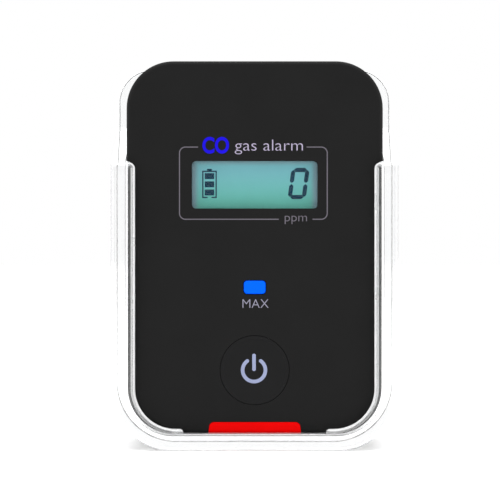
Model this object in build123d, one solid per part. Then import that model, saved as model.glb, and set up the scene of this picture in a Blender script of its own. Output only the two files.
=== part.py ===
from build123d import *
from math import cos, radians, sin
import os

# Pocket carbon monoxide alarm in a clear slide-in holder with a sprung belt clip.
# Millimetres. Front faces -Y, X to the right, Z up. The holder stands on Z = 0,
# and the origin is the bottom centre of the whole object.

# ---- Driving dimensions ----------------------------------------------------
body_width = 60.0
body_height = 87.4
body_depth = 22.0
body_corner = 11.0
front_edge = 1.2
rear_edge = 1.6
skin = 2.0
rear_skin = 1.8
split_depth = 13.2
seal_thickness = 0.4

holder_wall = 3.2
fit_gap = 0.3
lip_thickness = 2.0
lip_half_opening = 27.85
lip_notch_half = 16.6
lip_notch_ridge = 0.9
lip_height = 1.9
lip_inner_corner = 9.4
plate_thickness = 2.6
plate_top = 91.4
plate_corner = 8.0
wall_front_height = 66.4
wall_back_height = 77.0
holder_edge = 0.7

clip_reach = 8.5
clip_thickness = 2.2
clip_half_width = 10.0
clip_neck_half = 7.4
clip_top = 84.0
clip_bottom = 15.5
pin_height = 62.0
pin_offset = 4.3
pin_radius = 1.0
running_gap = 0.05
spring_coil = 1.6
spring_wire = 0.3
spring_half = 2.4
spring_lean = 0.3

window_width = 29.4
window_height = 11.1
window_centre = 61.95
max_key_width = 5.1
max_key_height = 3.1
max_key_centre = 38.0
power_radius = 8.0
power_centre = 18.65
key_gap = 0.15
key_travel = 0.6
lens_low_half = 11.3
lens_high_half = 10.5
lens_height = 3.0
lens_depth = 8.0

board_front = 7.0
board_thickness = 1.6
boss_x = 22.5
boss_low = 13.0
boss_high = 81.4
screw_radius = 1.0

cell_radius = 5.25
cell_length = 44.5
cell_x = 5.6
cell_depth = 14.75
contact_low = 8.0
contact_high = 59.0
contact_thickness = 0.4

# ---- Derived places --------------------------------------------------------
total_depth = lip_thickness + fit_gap + body_depth + fit_gap + plate_thickness + clip_reach
lip_front = -total_depth / 2
face = lip_front + lip_thickness + fit_gap
body_back = face + body_depth
plate_front = body_back + fit_gap
plate_back = plate_front + plate_thickness
holder_half = body_width / 2 + fit_gap + holder_wall
cavity_half = body_width / 2 + fit_gap
body_bottom = holder_wall + fit_gap
body_top = body_bottom + body_height
body_middle = (body_bottom + body_top) / 2
pin_y = plate_back + pin_offset
board_rear = board_front + board_thickness
rear_split = split_depth + seal_thickness
rear_inside = body_depth - rear_skin


# ---- Small helpers ---------------------------------------------------------
def block(x0, x1, y0, y1, z0, z1):
    """Box between two corners."""
    centre = Pos((x0 + x1) / 2, (y0 + y1) / 2, (z0 + z1) / 2)
    return centre * Box(x1 - x0, y1 - y0, z1 - z0)


def at_depth(x0, x1, d0, d1, z0, z1):
    """Box whose Y range is given as a depth behind the monitor's face."""
    return block(x0, x1, face + d0, face + d1, z0, z1)


def rod_y(x, z, radius, y0, y1):
    """Round bar along Y."""
    return Pos(x, (y0 + y1) / 2, z) * Rot(90, 0, 0) * Cylinder(radius, y1 - y0)


def stud(x, z, radius, d0, d1):
    """Round bar along Y between two depths behind the face."""
    return rod_y(x, z, radius, face + d0, face + d1)


def rod_x(y, z, radius, x0, x1):
    """Round bar along X."""
    return Pos((x0 + x1) / 2, y, z) * Rot(0, 90, 0) * Cylinder(radius, x1 - x0)


def rod_z(x, y, radius, z0, z1):
    """Round bar along Z."""
    return Pos(x, y, (z0 + z1) / 2) * Cylinder(radius, z1 - z0)


def front_plane(y):
    """Drawing plane at y: sketch X is X, sketch Y is Z, extrusion goes towards -Y."""
    return Plane(origin=(0, y, 0), x_dir=(1, 0, 0), z_dir=(0, -1, 0))


def rod_between(start, end, radius):
    """Round bar from one point to another."""
    span = end - start
    place = Plane(origin=start, z_dir=span)
    return place * Cylinder(radius, span.length, align=(Align.CENTER, Align.CENTER, Align.MIN))


def rounded_slab(width, z0, z1, y0, y1, low_corner, high_corner):
    """Slab between y0 and y1, centred on X, with its own low and high corner radii."""
    half = width / 2
    outline = Polygon((-half, z0), (half, z0), (half, z1), (-half, z1), align=None)
    rows = outline.vertices().group_by(Axis.Y)
    outline = fillet(rows[0], low_corner)
    if high_corner > 0:
        outline = fillet(outline.vertices().group_by(Axis.Y)[-1], high_corner)
    return extrude(front_plane(y1) * outline, amount=y1 - y0)


def rounded_key(width, height, corner, z, d0, d1):
    """Rounded rectangular slab centred on X and z, between two depths."""
    outline = Pos(0, z) * RectangleRounded(width, height, corner)
    return extrude(front_plane(face + d1) * outline, amount=d1 - d0)


def side_profile(points, half_width):
    """Closed outline of (y, z) points, drawn across X and centred on it."""
    wire = Polyline(*[(0, y, z) for y, z in points], close=True)
    return extrude(make_face(wire), amount=half_width, dir=(1, 0, 0), both=True)


def corners():
    """The four places of the case screws."""
    return [(x, z) for x in (-boss_x, boss_x) for z in (boss_low, boss_high)]


# ---- Clear holder ----------------------------------------------------------
def lip_opening():
    """The open front between the holder's lips, with the low notch for the alarm lens."""
    low = holder_wall + lip_height
    opening = rounded_slab(
        2 * lip_half_opening, low, plate_top + 20, lip_front - 1, lip_front + lip_thickness + 0.01,
        lip_inner_corner, 0,
    )
    notch = block(
        -lip_notch_half, lip_notch_half, lip_front - 1, lip_front + lip_thickness + 0.01,
        holder_wall + lip_notch_ridge, low + 1,
    )
    return opening + notch


def above_walls():
    """Everything above the sloping tops of the two side walls, in front of the back plate."""
    y0 = lip_front - 1
    slope = (wall_back_height - wall_front_height) / (plate_front - lip_front)
    points = [
        (y0, wall_front_height - slope),
        (plate_front, wall_back_height),
        (plate_front, plate_top + 10),
        (y0, plate_top + 10),
    ]
    return side_profile(points, holder_half + 5)


def clip_ears():
    """Two lugs behind the back plate that carry the clip's pin."""
    ears = []
    for side in (-1, 1):
        inner = side * (clip_neck_half + 0.4)
        outer = side * (clip_neck_half + 3.0)
        x0 = min(inner, outer)
        x1 = max(inner, outer)
        root = block(x0, x1, plate_back - 0.5, pin_y, pin_height - 2.6, pin_height + 2.6)
        ears.append(root + rod_x(pin_y, pin_height, 2.6, x0, x1))
    return ears


def make_holder():
    """One clear moulding: U-shaped wall, front lips, full back plate and the clip's lugs."""
    shell = rounded_slab(
        2 * holder_half, 0, plate_top, lip_front, plate_back,
        body_corner + fit_gap + holder_wall, plate_corner,
    )
    cavity = rounded_slab(
        2 * cavity_half, holder_wall, plate_top + 20, lip_front + lip_thickness, plate_front,
        body_corner + fit_gap, 0,
    )
    shell = shell - cavity - lip_opening() - above_walls()
    front_edges = shell.edges().filter_by_position(Axis.Y, lip_front - 0.01, lip_front + 0.01)
    shell = fillet(front_edges, holder_edge)
    back_edges = shell.edges().filter_by_position(Axis.Y, plate_back - 0.01, plate_back + 0.01)
    shell = fillet(back_edges, holder_edge)
    for ear in clip_ears():
        shell = shell + ear
    hole = rod_x(pin_y, pin_height, pin_radius, -clip_neck_half - 4, clip_neck_half + 4)
    return shell - hole


# ---- Belt clip -------------------------------------------------------------
def make_clip_lever():
    """Sprung lever: ribbed thumb pad above the pin, blade and jaw below it."""
    outer = plate_back + clip_reach - 0.4
    inner = outer - clip_thickness + 0.4
    profile = [
        (outer, clip_top),
        (outer, clip_bottom + 7),
        (outer - 3.6, clip_bottom),
        (plate_back + 0.1, clip_bottom),
        (plate_back + 0.1, clip_bottom + 3),
        (inner - 0.6, clip_bottom + 9),
        (inner, clip_bottom + 11),
        (inner, clip_top),
    ]
    blade = side_profile(profile, clip_half_width)
    for side in (-1, 1):
        x0 = min(side * clip_neck_half, side * 20)
        x1 = max(side * clip_neck_half, side * 20)
        blade = blade - block(x0, x1, plate_back, outer + 1, pin_height - 6, pin_height + 6)
    upright = blade.edges().filter_by(Axis.Y).filter_by_position(Axis.Z, clip_top - 1, clip_top + 1)
    blade = fillet(upright, 4.0)
    for row in range(5):
        z = clip_top - 4.0 - 2.2 * row
        blade = blade + rod_x(outer, z, 0.4, -clip_half_width + 2.5, clip_half_width - 2.5)
    for side in (-1, 1):
        x0 = min(side * 4.2, side * clip_neck_half)
        x1 = max(side * 4.2, side * clip_neck_half)
        blade = blade + rod_x(pin_y, pin_height, 2.4, x0, x1)
        blade = blade + block(x0, x1, pin_y, inner + 0.2, pin_height - 2.4, pin_height + 2.4)
    return blade - rod_x(pin_y, pin_height, pin_radius + running_gap, -20, 20)


def make_clip_pin():
    """Steel pin, pressed into both lugs."""
    reach = clip_neck_half + 2.8
    return rod_x(pin_y, pin_height, pin_radius, -reach, reach)


def make_clip_spring():
    """Torsion spring round the pin, one leg on the back plate and one towards the thumb pad."""
    lean = radians(16.0)
    start = Vector(spring_half, pin_y + spring_coil * cos(lean), pin_height + spring_coil * sin(lean))
    up = Vector(0, -sin(lean), cos(lean))
    coil_plane = Plane(
        origin=(spring_half, pin_y, pin_height), x_dir=(0, cos(lean), sin(lean)), z_dir=(-1, 0, 0)
    )
    path = coil_plane * Helix(pitch=2 * spring_half / 3.5, height=2 * spring_half, radius=spring_coil)
    section = Plane(origin=path @ 0, z_dir=path % 0) * Circle(spring_wire)
    end = path @ 1
    back = Vector(0, -spring_lean, 1).normalized()
    coil = sweep(section, path=path)
    front_leg = rod_between(start - up * 0.1, start + up * 8.0, spring_wire - 0.03)
    rear_leg = rod_between(end - back * 0.1, end + back * 7.6, spring_wire - 0.03)
    return coil + front_leg + rear_leg


# ---- Monitor casing --------------------------------------------------------
def body_slab(d0, d1, inset):
    """Slab of the monitor's outline between two depths, inset evenly from its outside."""
    corner = body_corner - inset
    return rounded_slab(
        body_width - 2 * inset, body_bottom + inset, body_top - inset, face + d0, face + d1,
        corner, corner,
    )


def lens_prism(spread):
    """Trapezoid at the bottom edge of the face, grown all round by spread."""
    low = lens_low_half + spread
    high = lens_high_half + spread
    top = body_bottom + lens_height + spread
    outline = Polygon((-low, 0), (low, 0), (high, top), (-high, top), align=None)
    outline = fillet(outline.vertices().group_by(Axis.Y)[-1], 1.0 + spread)
    return extrude(front_plane(face + lens_depth + spread) * outline, amount=lens_depth + 2)


def top_vents():
    """Slots through the top wall: one set for gas, one set for the sounder."""
    slots = []
    for side in (-1, 1):
        for step in range(5):
            x = side * (5.0 + 3.0 * step)
            slots.append(at_depth(x - 0.6, x + 0.6, 4.5, 10.0, body_top - skin - 1, body_top + 1))
    return slots


def make_front_shell():
    """Front half of the casing with its openings, screw bosses and top vents."""
    shell = body_slab(0, split_depth, 0)
    shell = fillet(shell.faces().sort_by(Axis.Y)[0].edges(), front_edge)
    shell = shell - body_slab(skin, split_depth + 1, skin)
    shell = shell - rounded_key(window_width, window_height, 1.0, window_centre, -1, skin + 1)
    shell = shell - stud(0, power_centre, power_radius + key_gap, -1, skin + 1)
    shell = shell - rounded_key(
        max_key_width + 2 * key_gap, max_key_height + 2 * key_gap, 0.95, max_key_centre, -1, skin + 1
    )
    shell = shell - lens_prism(0.1)
    for slot in top_vents():
        shell = shell - slot
    for x, z in corners():
        shell = shell + stud(x, z, 3.5, skin - 0.2, board_front)
        shell = shell + stud(x, z, 2.5, board_front - 0.2, split_depth)
        shell = shell - stud(x, z, screw_radius + 0.03, board_rear, split_depth + 1)
    return shell


def cover_opening(grow):
    """Battery cover's outline through the back wall, grown all round by grow."""
    plate = at_depth(-13.0 - grow, 13.0 + grow, rear_inside - 1, body_depth + 1, 6.9 - grow, 60.2 + grow)
    tab = at_depth(-5.8 - grow, 5.8 + grow, rear_inside - 0.1, body_depth + 1, 60.0, 65.8 + grow)
    return plate + tab


def make_rear_shell():
    """Rear half of the casing with screw wells and the battery opening."""
    shell = body_slab(rear_split, body_depth, 0)
    shell = fillet(shell.faces().sort_by(Axis.Y)[-1].edges(), rear_edge)
    shell = shell - body_slab(rear_split - 1, rear_inside, skin)
    shell = shell + at_depth(-7.2, 7.2, 18.3, rear_inside + 0.2, 60.5, 67.3)
    shell = shell + stud(0, 63.2, 3.0, rear_split, 18.5)
    shell = shell - cover_opening(0.15)
    shell = shell - stud(0, 63.2, screw_radius + 0.03, rear_split - 1, body_depth)
    for x, z in corners():
        shell = shell + stud(x, z, 4.0, rear_split, rear_inside + 0.2)
        shell = shell - stud(x, z, 2.5, 17.5, body_depth + 1)
        shell = shell - stud(x, z, 1.2, rear_split - 1, 18)
    return shell


def make_shell_seal():
    """Flat rubber loop between the two halves of the casing."""
    return body_slab(split_depth, rear_split, 0.35) - body_slab(split_depth - 1, rear_split + 1, 1.75)


def make_battery_cover():
    """Battery cover flush with the back, with a screw tab and two grip grooves."""
    space = at_depth(-40, 40, rear_inside, body_depth, 0, 100)
    cover = cover_opening(0) & space
    cover = cover - stud(0, 63.2, 2.2, 20.9, body_depth + 1) - stud(0, 63.2, 1.15, 19, body_depth + 1)
    for z in (14.0, 16.5, 19.0):
        cover = cover - at_depth(-7, 7, body_depth - 0.5, body_depth + 1, z - 0.5, z + 0.5)
    return cover


def pan_screw(x, z, head_radius, seat, head, tip):
    """Cross-head screw driven from the back."""
    screw = stud(x, z, head_radius, seat, seat + head) + stud(x, z, screw_radius, tip, seat + 0.1)
    slot_depth = seat + head - 0.7
    screw = screw - at_depth(x - 1.1, x + 1.1, slot_depth, seat + head + 1, z - 0.25, z + 0.25)
    return screw - at_depth(x - 0.25, x + 0.25, slot_depth, seat + head + 1, z - 1.1, z + 1.1)


def make_shell_screws():
    """Four screws that hold the casing together."""
    return Compound([pan_screw(x, z, 2.1, 17.5, 1.6, 9.6).solid() for x, z in corners()])


def make_cover_screw():
    """One screw that holds the battery cover."""
    return pan_screw(0, 63.2, 1.9, 20.9, 1.0, 15.0)


# ---- Display ---------------------------------------------------------------
def make_display_window():
    """Clear window: a plug in the opening and a flange glued behind the wall."""
    plug = rounded_key(window_width - 0.1, window_height - 0.1, 0.95, window_centre, 0.4, skin + 0.2)
    return plug + rounded_key(window_width + 3, window_height + 3, 1.5, window_centre, skin, 2.8)


def make_lcd_glass():
    """The two glass sheets of the display as one bonded cell, with its step for the contacts."""
    z = window_centre
    front = at_depth(-17, 17, 2.9, 3.8, z - 7.2, z + 7.2)
    return front + at_depth(-17, 17, 3.8, 4.7, z - 8.5, z + 8.5)


def make_lcd_backlight():
    """Light guide behind the display glass."""
    z = window_centre
    return at_depth(-16.8, 16.8, 4.8, 6.9, z - 6.2, z + 6.2)


def make_lcd_contacts():
    """Two elastomer strips between the glass and the board."""
    z = window_centre
    low = at_depth(-16, 16, 4.7, board_front, z - 8.2, z - 6.6)
    high = at_depth(-16, 16, 4.7, board_front, z + 6.6, z + 8.2)
    return Compound([low.solid(), high.solid()])


def make_lcd_frame():
    """Plastic frame that holds the display stack against the board."""
    z = window_centre
    ring = at_depth(-18.8, 18.8, 3.0, board_front, z - 10.2, z + 10.2)
    return ring - at_depth(-17.2, 17.2, 2, board_front + 1, z - 8.7, z + 8.7)


# ---- Keys and lens ---------------------------------------------------------
def make_power_button():
    """Round key with a hidden flange and a stem towards its switch."""
    cap = stud(0, power_centre, power_radius, 0.05, skin + 0.1)
    cap = fillet(cap.faces().sort_by(Axis.Y)[0].edges(), 0.35)
    flange = stud(0, power_centre, 9.2, skin + 0.05, 2.8)
    return cap + flange + stud(0, power_centre, 1.6, 2.7, 3.2)


def make_max_button():
    """Small rectangular key, slightly proud of the face."""
    cap = rounded_key(max_key_width, max_key_height, 0.8, max_key_centre, -0.2, skin + 0.1)
    cap = fillet(cap.faces().sort_by(Axis.Y)[0].edges(), 0.35)
    flange = rounded_key(7.6, 5.4, 1.2, max_key_centre, skin + 0.05, 2.8)
    return cap + flange + stud(0, max_key_centre, 1.0, 2.7, 3.2)


def tact_switch(z, half):
    """Small push switch on the front of the board."""
    plunger_end = 3.2 + key_travel + 0.05
    return at_depth(-half, half, 4.4, board_front, z - half, z + half) + stud(0, z, 1.6, plunger_end, 4.5)


def make_alarm_lens():
    """Red lens bar, flush with the face and the underside, with a ledge inside."""
    bar = body_slab(0, split_depth, 0)
    bar = fillet(bar.faces().sort_by(Axis.Y)[0].edges(), front_edge) & lens_prism(0)
    ledge = at_depth(
        -13.2, 13.2, skin + 0.1, lens_depth, body_bottom + skin + 0.05, body_bottom + lens_height
    )
    return bar + ledge


# ---- Circuit board and what is on it ---------------------------------------
def sensor_pin_places():
    """Where the gas sensor's pins go through the board."""
    return [(-12.5, 74.0), (-5.5, 74.0), (-9.0, 80.0)]


def make_circuit_board():
    """Board with clearance holes for the casing's bosses."""
    board = rounded_slab(53.0, 7.6, 86.8, face + board_front, face + board_rear, 7.0, 7.0)
    for x, z in corners():
        board = board - stud(x, z, 2.65, board_front - 1, board_rear + 1)
    for x, z in sensor_pin_places():
        board = board - stud(x, z, 0.55, board_front - 1, board_rear + 1)
    return board


def make_microcontroller():
    """Flat square chip with legs on all four sides."""
    chip = at_depth(-18.5, -10.5, 5.6, 6.9, 40.0, 48.0)
    for step in range(6):
        shift = step - 2.5
        z = 44.0 + shift
        x = -14.5 + shift
        chip = chip + at_depth(-19.3, -9.7, 6.6, board_front, z - 0.15, z + 0.15)
        chip = chip + at_depth(x - 0.15, x + 0.15, 6.6, board_front, 39.2, 48.8)
    return chip


def make_board_components():
    """Chip capacitors, resistors and the timing crystal."""
    pieces = []
    for row in range(3):
        for column in range(4):
            x = 9.0 + 3.4 * column
            z = 40.5 + 3.2 * row
            pieces.append(at_depth(x, x + 2.0, 6.2, board_front, z, z + 1.2))
    pieces.append(at_depth(-18, -11, 5.2, board_front, 33.0, 36.0))
    pieces.append(at_depth(12, 17, 4.4, board_front, 26.0, 31.0))
    return Compound([piece.solid() for piece in pieces])


def make_alarm_leds():
    """Two red lamps behind the alarm lens."""
    lamps = [at_depth(x - 1.6, x + 1.6, 5.4, board_front, 8.0, 10.0) for x in (-5.5, 5.5)]
    return Compound([lamp.solid() for lamp in lamps])


def make_gas_sensor():
    """Electrochemical cell: a round can with an inlet hole in its rear face."""
    can = stud(-9.0, 76.5, 8.0, board_rear + 0.4, 17.8)
    can = fillet(can.faces().sort_by(Axis.Y)[-1].edges(), 0.8)
    return can - stud(-9.0, 76.5, 4.1, 17.4, 19)


def make_sensor_filter():
    """White filter disc in the cell's inlet."""
    return stud(-9.0, 76.5, 4.0, 17.4, 17.75)


def make_sensor_pins():
    """Three pins of the cell, soldered in the board."""
    pins = [stud(x, z, 0.5, board_front - 0.8, board_rear + 0.4) for x, z in sensor_pin_places()]
    return Compound([pin.solid() for pin in pins])


def make_sounder():
    """Piezo sounder: a round case with a hole in its rear face."""
    case = stud(9.5, 76.5, 6.5, board_rear, 15.4)
    case = fillet(case.faces().sort_by(Axis.Y)[-1].edges(), 0.6)
    return case - stud(9.5, 76.5, 1.2, 14.4, 16)


def make_vent_membranes():
    """White splash membranes under the two sets of top slots."""
    z0 = body_top - skin - 0.5
    left = at_depth(-19.0, -3.0, 3.5, 11.0, z0, z0 + 0.45)
    right = at_depth(3.0, 19.0, 3.5, 11.0, z0, z0 + 0.45)
    return Compound([left.solid(), right.solid()])


# ---- Battery compartment ---------------------------------------------------
def make_battery_holder():
    """Cradle for two cells side by side, open to the back."""
    tray = at_depth(-12.4, 12.4, 8.9, 19.9, 6.9, 60.1)
    tray = tray - at_depth(-11.3, 11.3, 10.5, 21, contact_low - 0.1, contact_high + 0.1)
    for side in (-1, 1):
        x = side * cell_x
        y = face + cell_depth
        tray = tray - rod_z(x, y, cell_radius + 0.1, contact_low - 0.1, contact_high + 0.1)
        for z in (contact_low, contact_high - contact_thickness):
            tray = tray - at_depth(x - 1.2, x + 1.2, 8, 11, z - 0.1, z + contact_thickness + 0.1)
    return tray


def make_battery_cell(side):
    """Small round cell: plus end up on the left, down on the right."""
    x = side * cell_x
    y = face + cell_depth
    low = contact_low + contact_thickness
    high = contact_high - contact_thickness
    if side < 0:
        cell = rod_z(x, y, cell_radius, high - cell_length, high - 0.8)
        return cell + rod_z(x, y, 1.9, high - 1.0, high)
    cell = rod_z(x, y, cell_radius, low + 0.8, low + cell_length)
    return cell + rod_z(x, y, 1.9, low, low + 1.0)


def contact_plate(x0, x1, z, tab_x):
    """Spring-steel plate across a cell's end with a solder tab to the board."""
    plate = at_depth(x0, x1, 10.9, 18.6, z, z + contact_thickness)
    return plate + at_depth(tab_x - 1.0, tab_x + 1.0, board_rear, 11.0, z, z + contact_thickness)


def make_battery_bridge():
    """Lower plate that joins the two cells."""
    return contact_plate(-9.6, 9.6, contact_low, cell_x)


def make_battery_contacts():
    """Upper plates, one for each cell."""
    z = contact_high - contact_thickness
    left = contact_plate(-9.6, -1.6, z, -cell_x)
    right = contact_plate(1.6, 9.6, z, cell_x)
    return Compound([left.solid(), right.solid()])


def coil_spring(x, z0, z1):
    """Wire spring between a contact plate and a cell's minus end."""
    wire = 0.3
    turns = 4
    path = Helix(pitch=(z1 - z0 - 2 * wire) / turns, height=z1 - z0 - 2 * wire, radius=2.8)
    section = Plane(origin=path @ 0, z_dir=path % 0) * Circle(wire)
    return Pos(x, face + cell_depth, z0 + wire) * sweep(section, path=path)


def make_battery_springs():
    """One spring at the minus end of each cell."""
    low = contact_low + contact_thickness
    high = contact_high - contact_thickness
    left = coil_spring(-cell_x, low + 0.05, high - cell_length - 0.05)
    right = coil_spring(cell_x, low + cell_length + 0.05, high - 0.05)
    return Compound([left.solid(), right.solid()])


# ---- Output ----------------------------------------------------------------
def build_nodes():
    """Every separate piece of the object, by name."""
    return {
        "holder": make_holder(),
        "clip_lever": make_clip_lever(),
        "clip_pin": make_clip_pin(),
        "clip_spring": make_clip_spring(),
        "front_shell": make_front_shell(),
        "rear_shell": make_rear_shell(),
        "shell_seal": make_shell_seal(),
        "battery_cover": make_battery_cover(),
        "shell_screws": make_shell_screws(),
        "cover_screw": make_cover_screw(),
        "display_window": make_display_window(),
        "lcd_glass": make_lcd_glass(),
        "lcd_backlight": make_lcd_backlight(),
        "lcd_contacts": make_lcd_contacts(),
        "lcd_frame": make_lcd_frame(),
        "power_button": make_power_button(),
        "max_button": make_max_button(),
        "power_switch": tact_switch(power_centre, 3.0),
        "max_switch": tact_switch(max_key_centre, 2.3),
        "alarm_lens": make_alarm_lens(),
        "alarm_leds": make_alarm_leds(),
        "circuit_board": make_circuit_board(),
        "microcontroller": make_microcontroller(),
        "board_components": make_board_components(),
        "gas_sensor": make_gas_sensor(),
        "sensor_filter": make_sensor_filter(),
        "sensor_pins": make_sensor_pins(),
        "sounder": make_sounder(),
        "vent_membranes": make_vent_membranes(),
        "battery_holder": make_battery_holder(),
        "battery_cell_left": make_battery_cell(-1),
        "battery_cell_right": make_battery_cell(1),
        "battery_bridge": make_battery_bridge(),
        "battery_contacts": make_battery_contacts(),
        "battery_springs": make_battery_springs(),
    }


os.makedirs("parts", exist_ok=True)
for name, shape in build_nodes().items():
    export_step(shape, f"parts/{name}.step")
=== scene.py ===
import logging
from dataclasses import dataclass
from enum import Enum
from math import cos, pi, radians, sin, tan
from typing import Any, Callable, Dict, Iterable, List, Sequence, Tuple

import bmesh
import bpy
from mathutils import Matrix, Vector


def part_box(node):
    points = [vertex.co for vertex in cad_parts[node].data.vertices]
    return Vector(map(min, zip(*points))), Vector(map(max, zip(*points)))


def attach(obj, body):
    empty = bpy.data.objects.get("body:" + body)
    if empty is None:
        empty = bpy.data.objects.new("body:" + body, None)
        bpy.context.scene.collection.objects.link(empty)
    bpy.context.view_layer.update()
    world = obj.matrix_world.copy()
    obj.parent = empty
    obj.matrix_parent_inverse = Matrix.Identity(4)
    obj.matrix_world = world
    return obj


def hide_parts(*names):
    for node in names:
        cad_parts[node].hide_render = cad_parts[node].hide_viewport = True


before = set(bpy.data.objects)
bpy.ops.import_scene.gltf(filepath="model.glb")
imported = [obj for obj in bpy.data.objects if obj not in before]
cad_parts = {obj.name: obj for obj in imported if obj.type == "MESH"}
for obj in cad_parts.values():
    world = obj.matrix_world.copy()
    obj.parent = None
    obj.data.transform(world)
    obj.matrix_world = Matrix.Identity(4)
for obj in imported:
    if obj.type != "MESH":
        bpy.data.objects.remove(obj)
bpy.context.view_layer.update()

# A pocket carbon monoxide alarm standing in its clear slide-in holder.
# Metres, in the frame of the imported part: front faces -Y, X to the right, Z up.

MM = 0.001
PAST = 1.0 * MM  # how far a cutting tool reaches past the skin it cuts
ABOVE = 30.0 * MM  # how far a tool that stays open at the top reaches above the holder
SAME_PLACE = 0.01 * MM
SHARP = radians(25)
Colour = Tuple[float, float, float]
Spot = Tuple[float, float]
EdgeTest = Callable[[Vector, Vector], bool]
log = logging.getLogger("co_alarm")


class Body(Enum):
    """The rigid bodies of the part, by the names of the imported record."""

    HOLDER = "holder_body"
    MONITOR = "monitor_body"
    POWER_KEY = "power_key"
    MAX_KEY = "max_key"
    CLIP = "clip"


class Along(Enum):
    """A direction that an edge or an axis runs in."""

    X = 0
    Y = 1
    Z = 2


class Part(Enum):
    """A kind of part of a mesh, with the name of its list."""

    VERT = "verts"
    EDGE = "edges"
    FACE = "faces"


def srgb(red: int, green: int, blue: int) -> Colour:
    """Turns a colour of 0 to 255 steps into linear light.

    Args:
        red: Red step.
        green: Green step.
        blue: Blue step.

    Returns:
        The linear colour.
    """
    steps = [value / 255 for value in (red, green, blue)]
    linear = [s / 12.92 if s <= 0.04045 else ((s + 0.055) / 1.055) ** 2.4 for s in steps]
    return linear[0], linear[1], linear[2]


# ---- Bench: modelling by hand ----------------------------------------------
def only(obj: bpy.types.Object) -> None:
    """Selects one object alone and makes it active."""
    bpy.ops.object.select_all(action="DESELECT")
    obj.select_set(True)
    bpy.context.view_layer.objects.active = obj


def seat(obj: bpy.types.Object) -> None:
    """Applies an object's place, turn and size to its mesh."""
    only(obj)
    bpy.ops.object.transform_apply(location=True, rotation=True, scale=True)


def block(name: str, low: Sequence[float], high: Sequence[float]) -> bpy.types.Object:
    """Adds a box between two corners.

    Args:
        name: Name of the new object.
        low: Lowest corner.
        high: Highest corner.

    Returns:
        The new object.
    """
    bpy.ops.object.select_all(action="DESELECT")
    centre = [(a + b) / 2 for a, b in zip(low, high)]
    size = [b - a for a, b in zip(low, high)]
    bpy.ops.mesh.primitive_cube_add(size=1, location=centre, scale=size)
    obj = bpy.context.object
    obj.name = name
    obj.data.name = name
    seat(obj)
    return obj


def rod(name: str, start: Sequence[float], length: float, radius: float,
        along: Along = Along.Y, sides: int = 64) -> bpy.types.Object:
    """Adds a round bar that starts at a point and runs along an axis.

    Args:
        name: Name of the new object.
        start: Centre of its first end.
        length: Its length, towards the axis's positive end.
        radius: Its radius.
        along: The axis.
        sides: How many sides its circle has.

    Returns:
        The new object.
    """
    bpy.ops.object.select_all(action="DESELECT")
    middle = list(start)
    middle[along.value] += length / 2
    turn = {Along.X: (0, pi / 2, 0), Along.Y: (pi / 2, 0, 0), Along.Z: (0, 0, 0)}[along]
    bpy.ops.mesh.primitive_cylinder_add(
        vertices=sides, radius=radius, depth=length, location=middle, rotation=turn
    )
    obj = bpy.context.object
    obj.name = name
    obj.data.name = name
    seat(obj)
    return obj


def runs(along: Along, a: Vector, b: Vector) -> bool:
    """True if the edge from a to b is parallel to the axis."""
    span = b - a
    return abs(span[along.value]) > 0.999 * span.length


def pick(obj: bpy.types.Object, part: Part, test: Callable[[Any], bool]) -> int:
    """Opens a mesh for editing with only the parts selected that a test picks.

    Args:
        obj: The piece, which stays in edit mode.
        part: The kind of part to select.
        test: Says of one part whether it is selected.

    Returns:
        How many parts were picked.
    """
    only(obj)
    bpy.ops.object.mode_set(mode="EDIT")
    bpy.ops.mesh.select_mode(type=part.name)
    bpy.ops.mesh.select_all(action="DESELECT")
    mesh = bmesh.from_edit_mesh(obj.data)
    picked = [item for item in getattr(mesh, part.value) if test(item)]
    for item in picked:
        item.select_set(True)
    bmesh.update_edit_mesh(obj.data)
    return len(picked)


def bevel(obj: bpy.types.Object, test: EdgeTest, width: float, steps: int) -> None:
    """Rounds the sharp edges that a test picks.

    Args:
        obj: The piece.
        test: Says of an edge's two ends whether the edge is rounded.
        width: Radius of the rounding.
        steps: Number of segments across it.
    """
    def wanted(edge: bmesh.types.BMEdge) -> bool:
        """True if the edge is sharp and the test picks its two ends."""
        return edge.calc_face_angle(0.0) >= SHARP and test(edge.verts[0].co, edge.verts[1].co)

    if pick(obj, Part.EDGE, wanted):
        bpy.ops.mesh.bevel(offset=width, segments=steps, profile=0.5, clamp_overlap=True)
    bpy.ops.object.mode_set(mode="OBJECT")


def use_modifier(obj: bpy.types.Object, kind: str, **settings: object) -> None:
    """Adds a modifier with its settings and applies it."""
    modifier = obj.modifiers.new(kind.title(), kind)
    for key, value in settings.items():
        setattr(modifier, key, value)
    only(obj)
    bpy.ops.object.modifier_apply(modifier=modifier.name)


def soften(obj: bpy.types.Object, width: float, steps: int, angle: float) -> None:
    """Takes the sharpness off every edge over an angle in degrees, as far as the faces leave room."""
    use_modifier(
        obj, "BEVEL", width=width, segments=steps, limit_method="ANGLE",
        angle_limit=radians(angle), use_clamp_overlap=True,
    )


def combine(obj: bpy.types.Object, tool: bpy.types.Object, operation: str) -> None:
    """Joins a tool to a piece or cuts it away, and removes the tool."""
    use_modifier(obj, "BOOLEAN", object=tool, operation=operation, solver="EXACT")
    bpy.data.objects.remove(tool, do_unlink=True)


def cut(obj: bpy.types.Object, *tools: bpy.types.Object) -> None:
    """Cuts each tool away from a piece."""
    for tool in tools:
        combine(obj, tool, "DIFFERENCE")


def weld(obj: bpy.types.Object, *tools: bpy.types.Object) -> None:
    """Joins each tool to a piece as one skin."""
    for tool in tools:
        combine(obj, tool, "UNION")


def join(name: str, pieces: Sequence[bpy.types.Object]) -> bpy.types.Object:
    """Joins separate solids as one named piece."""
    only(pieces[0])
    for piece in pieces:
        piece.select_set(True)
    bpy.ops.object.join()
    pieces[0].name = name
    return pieces[0]


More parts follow.
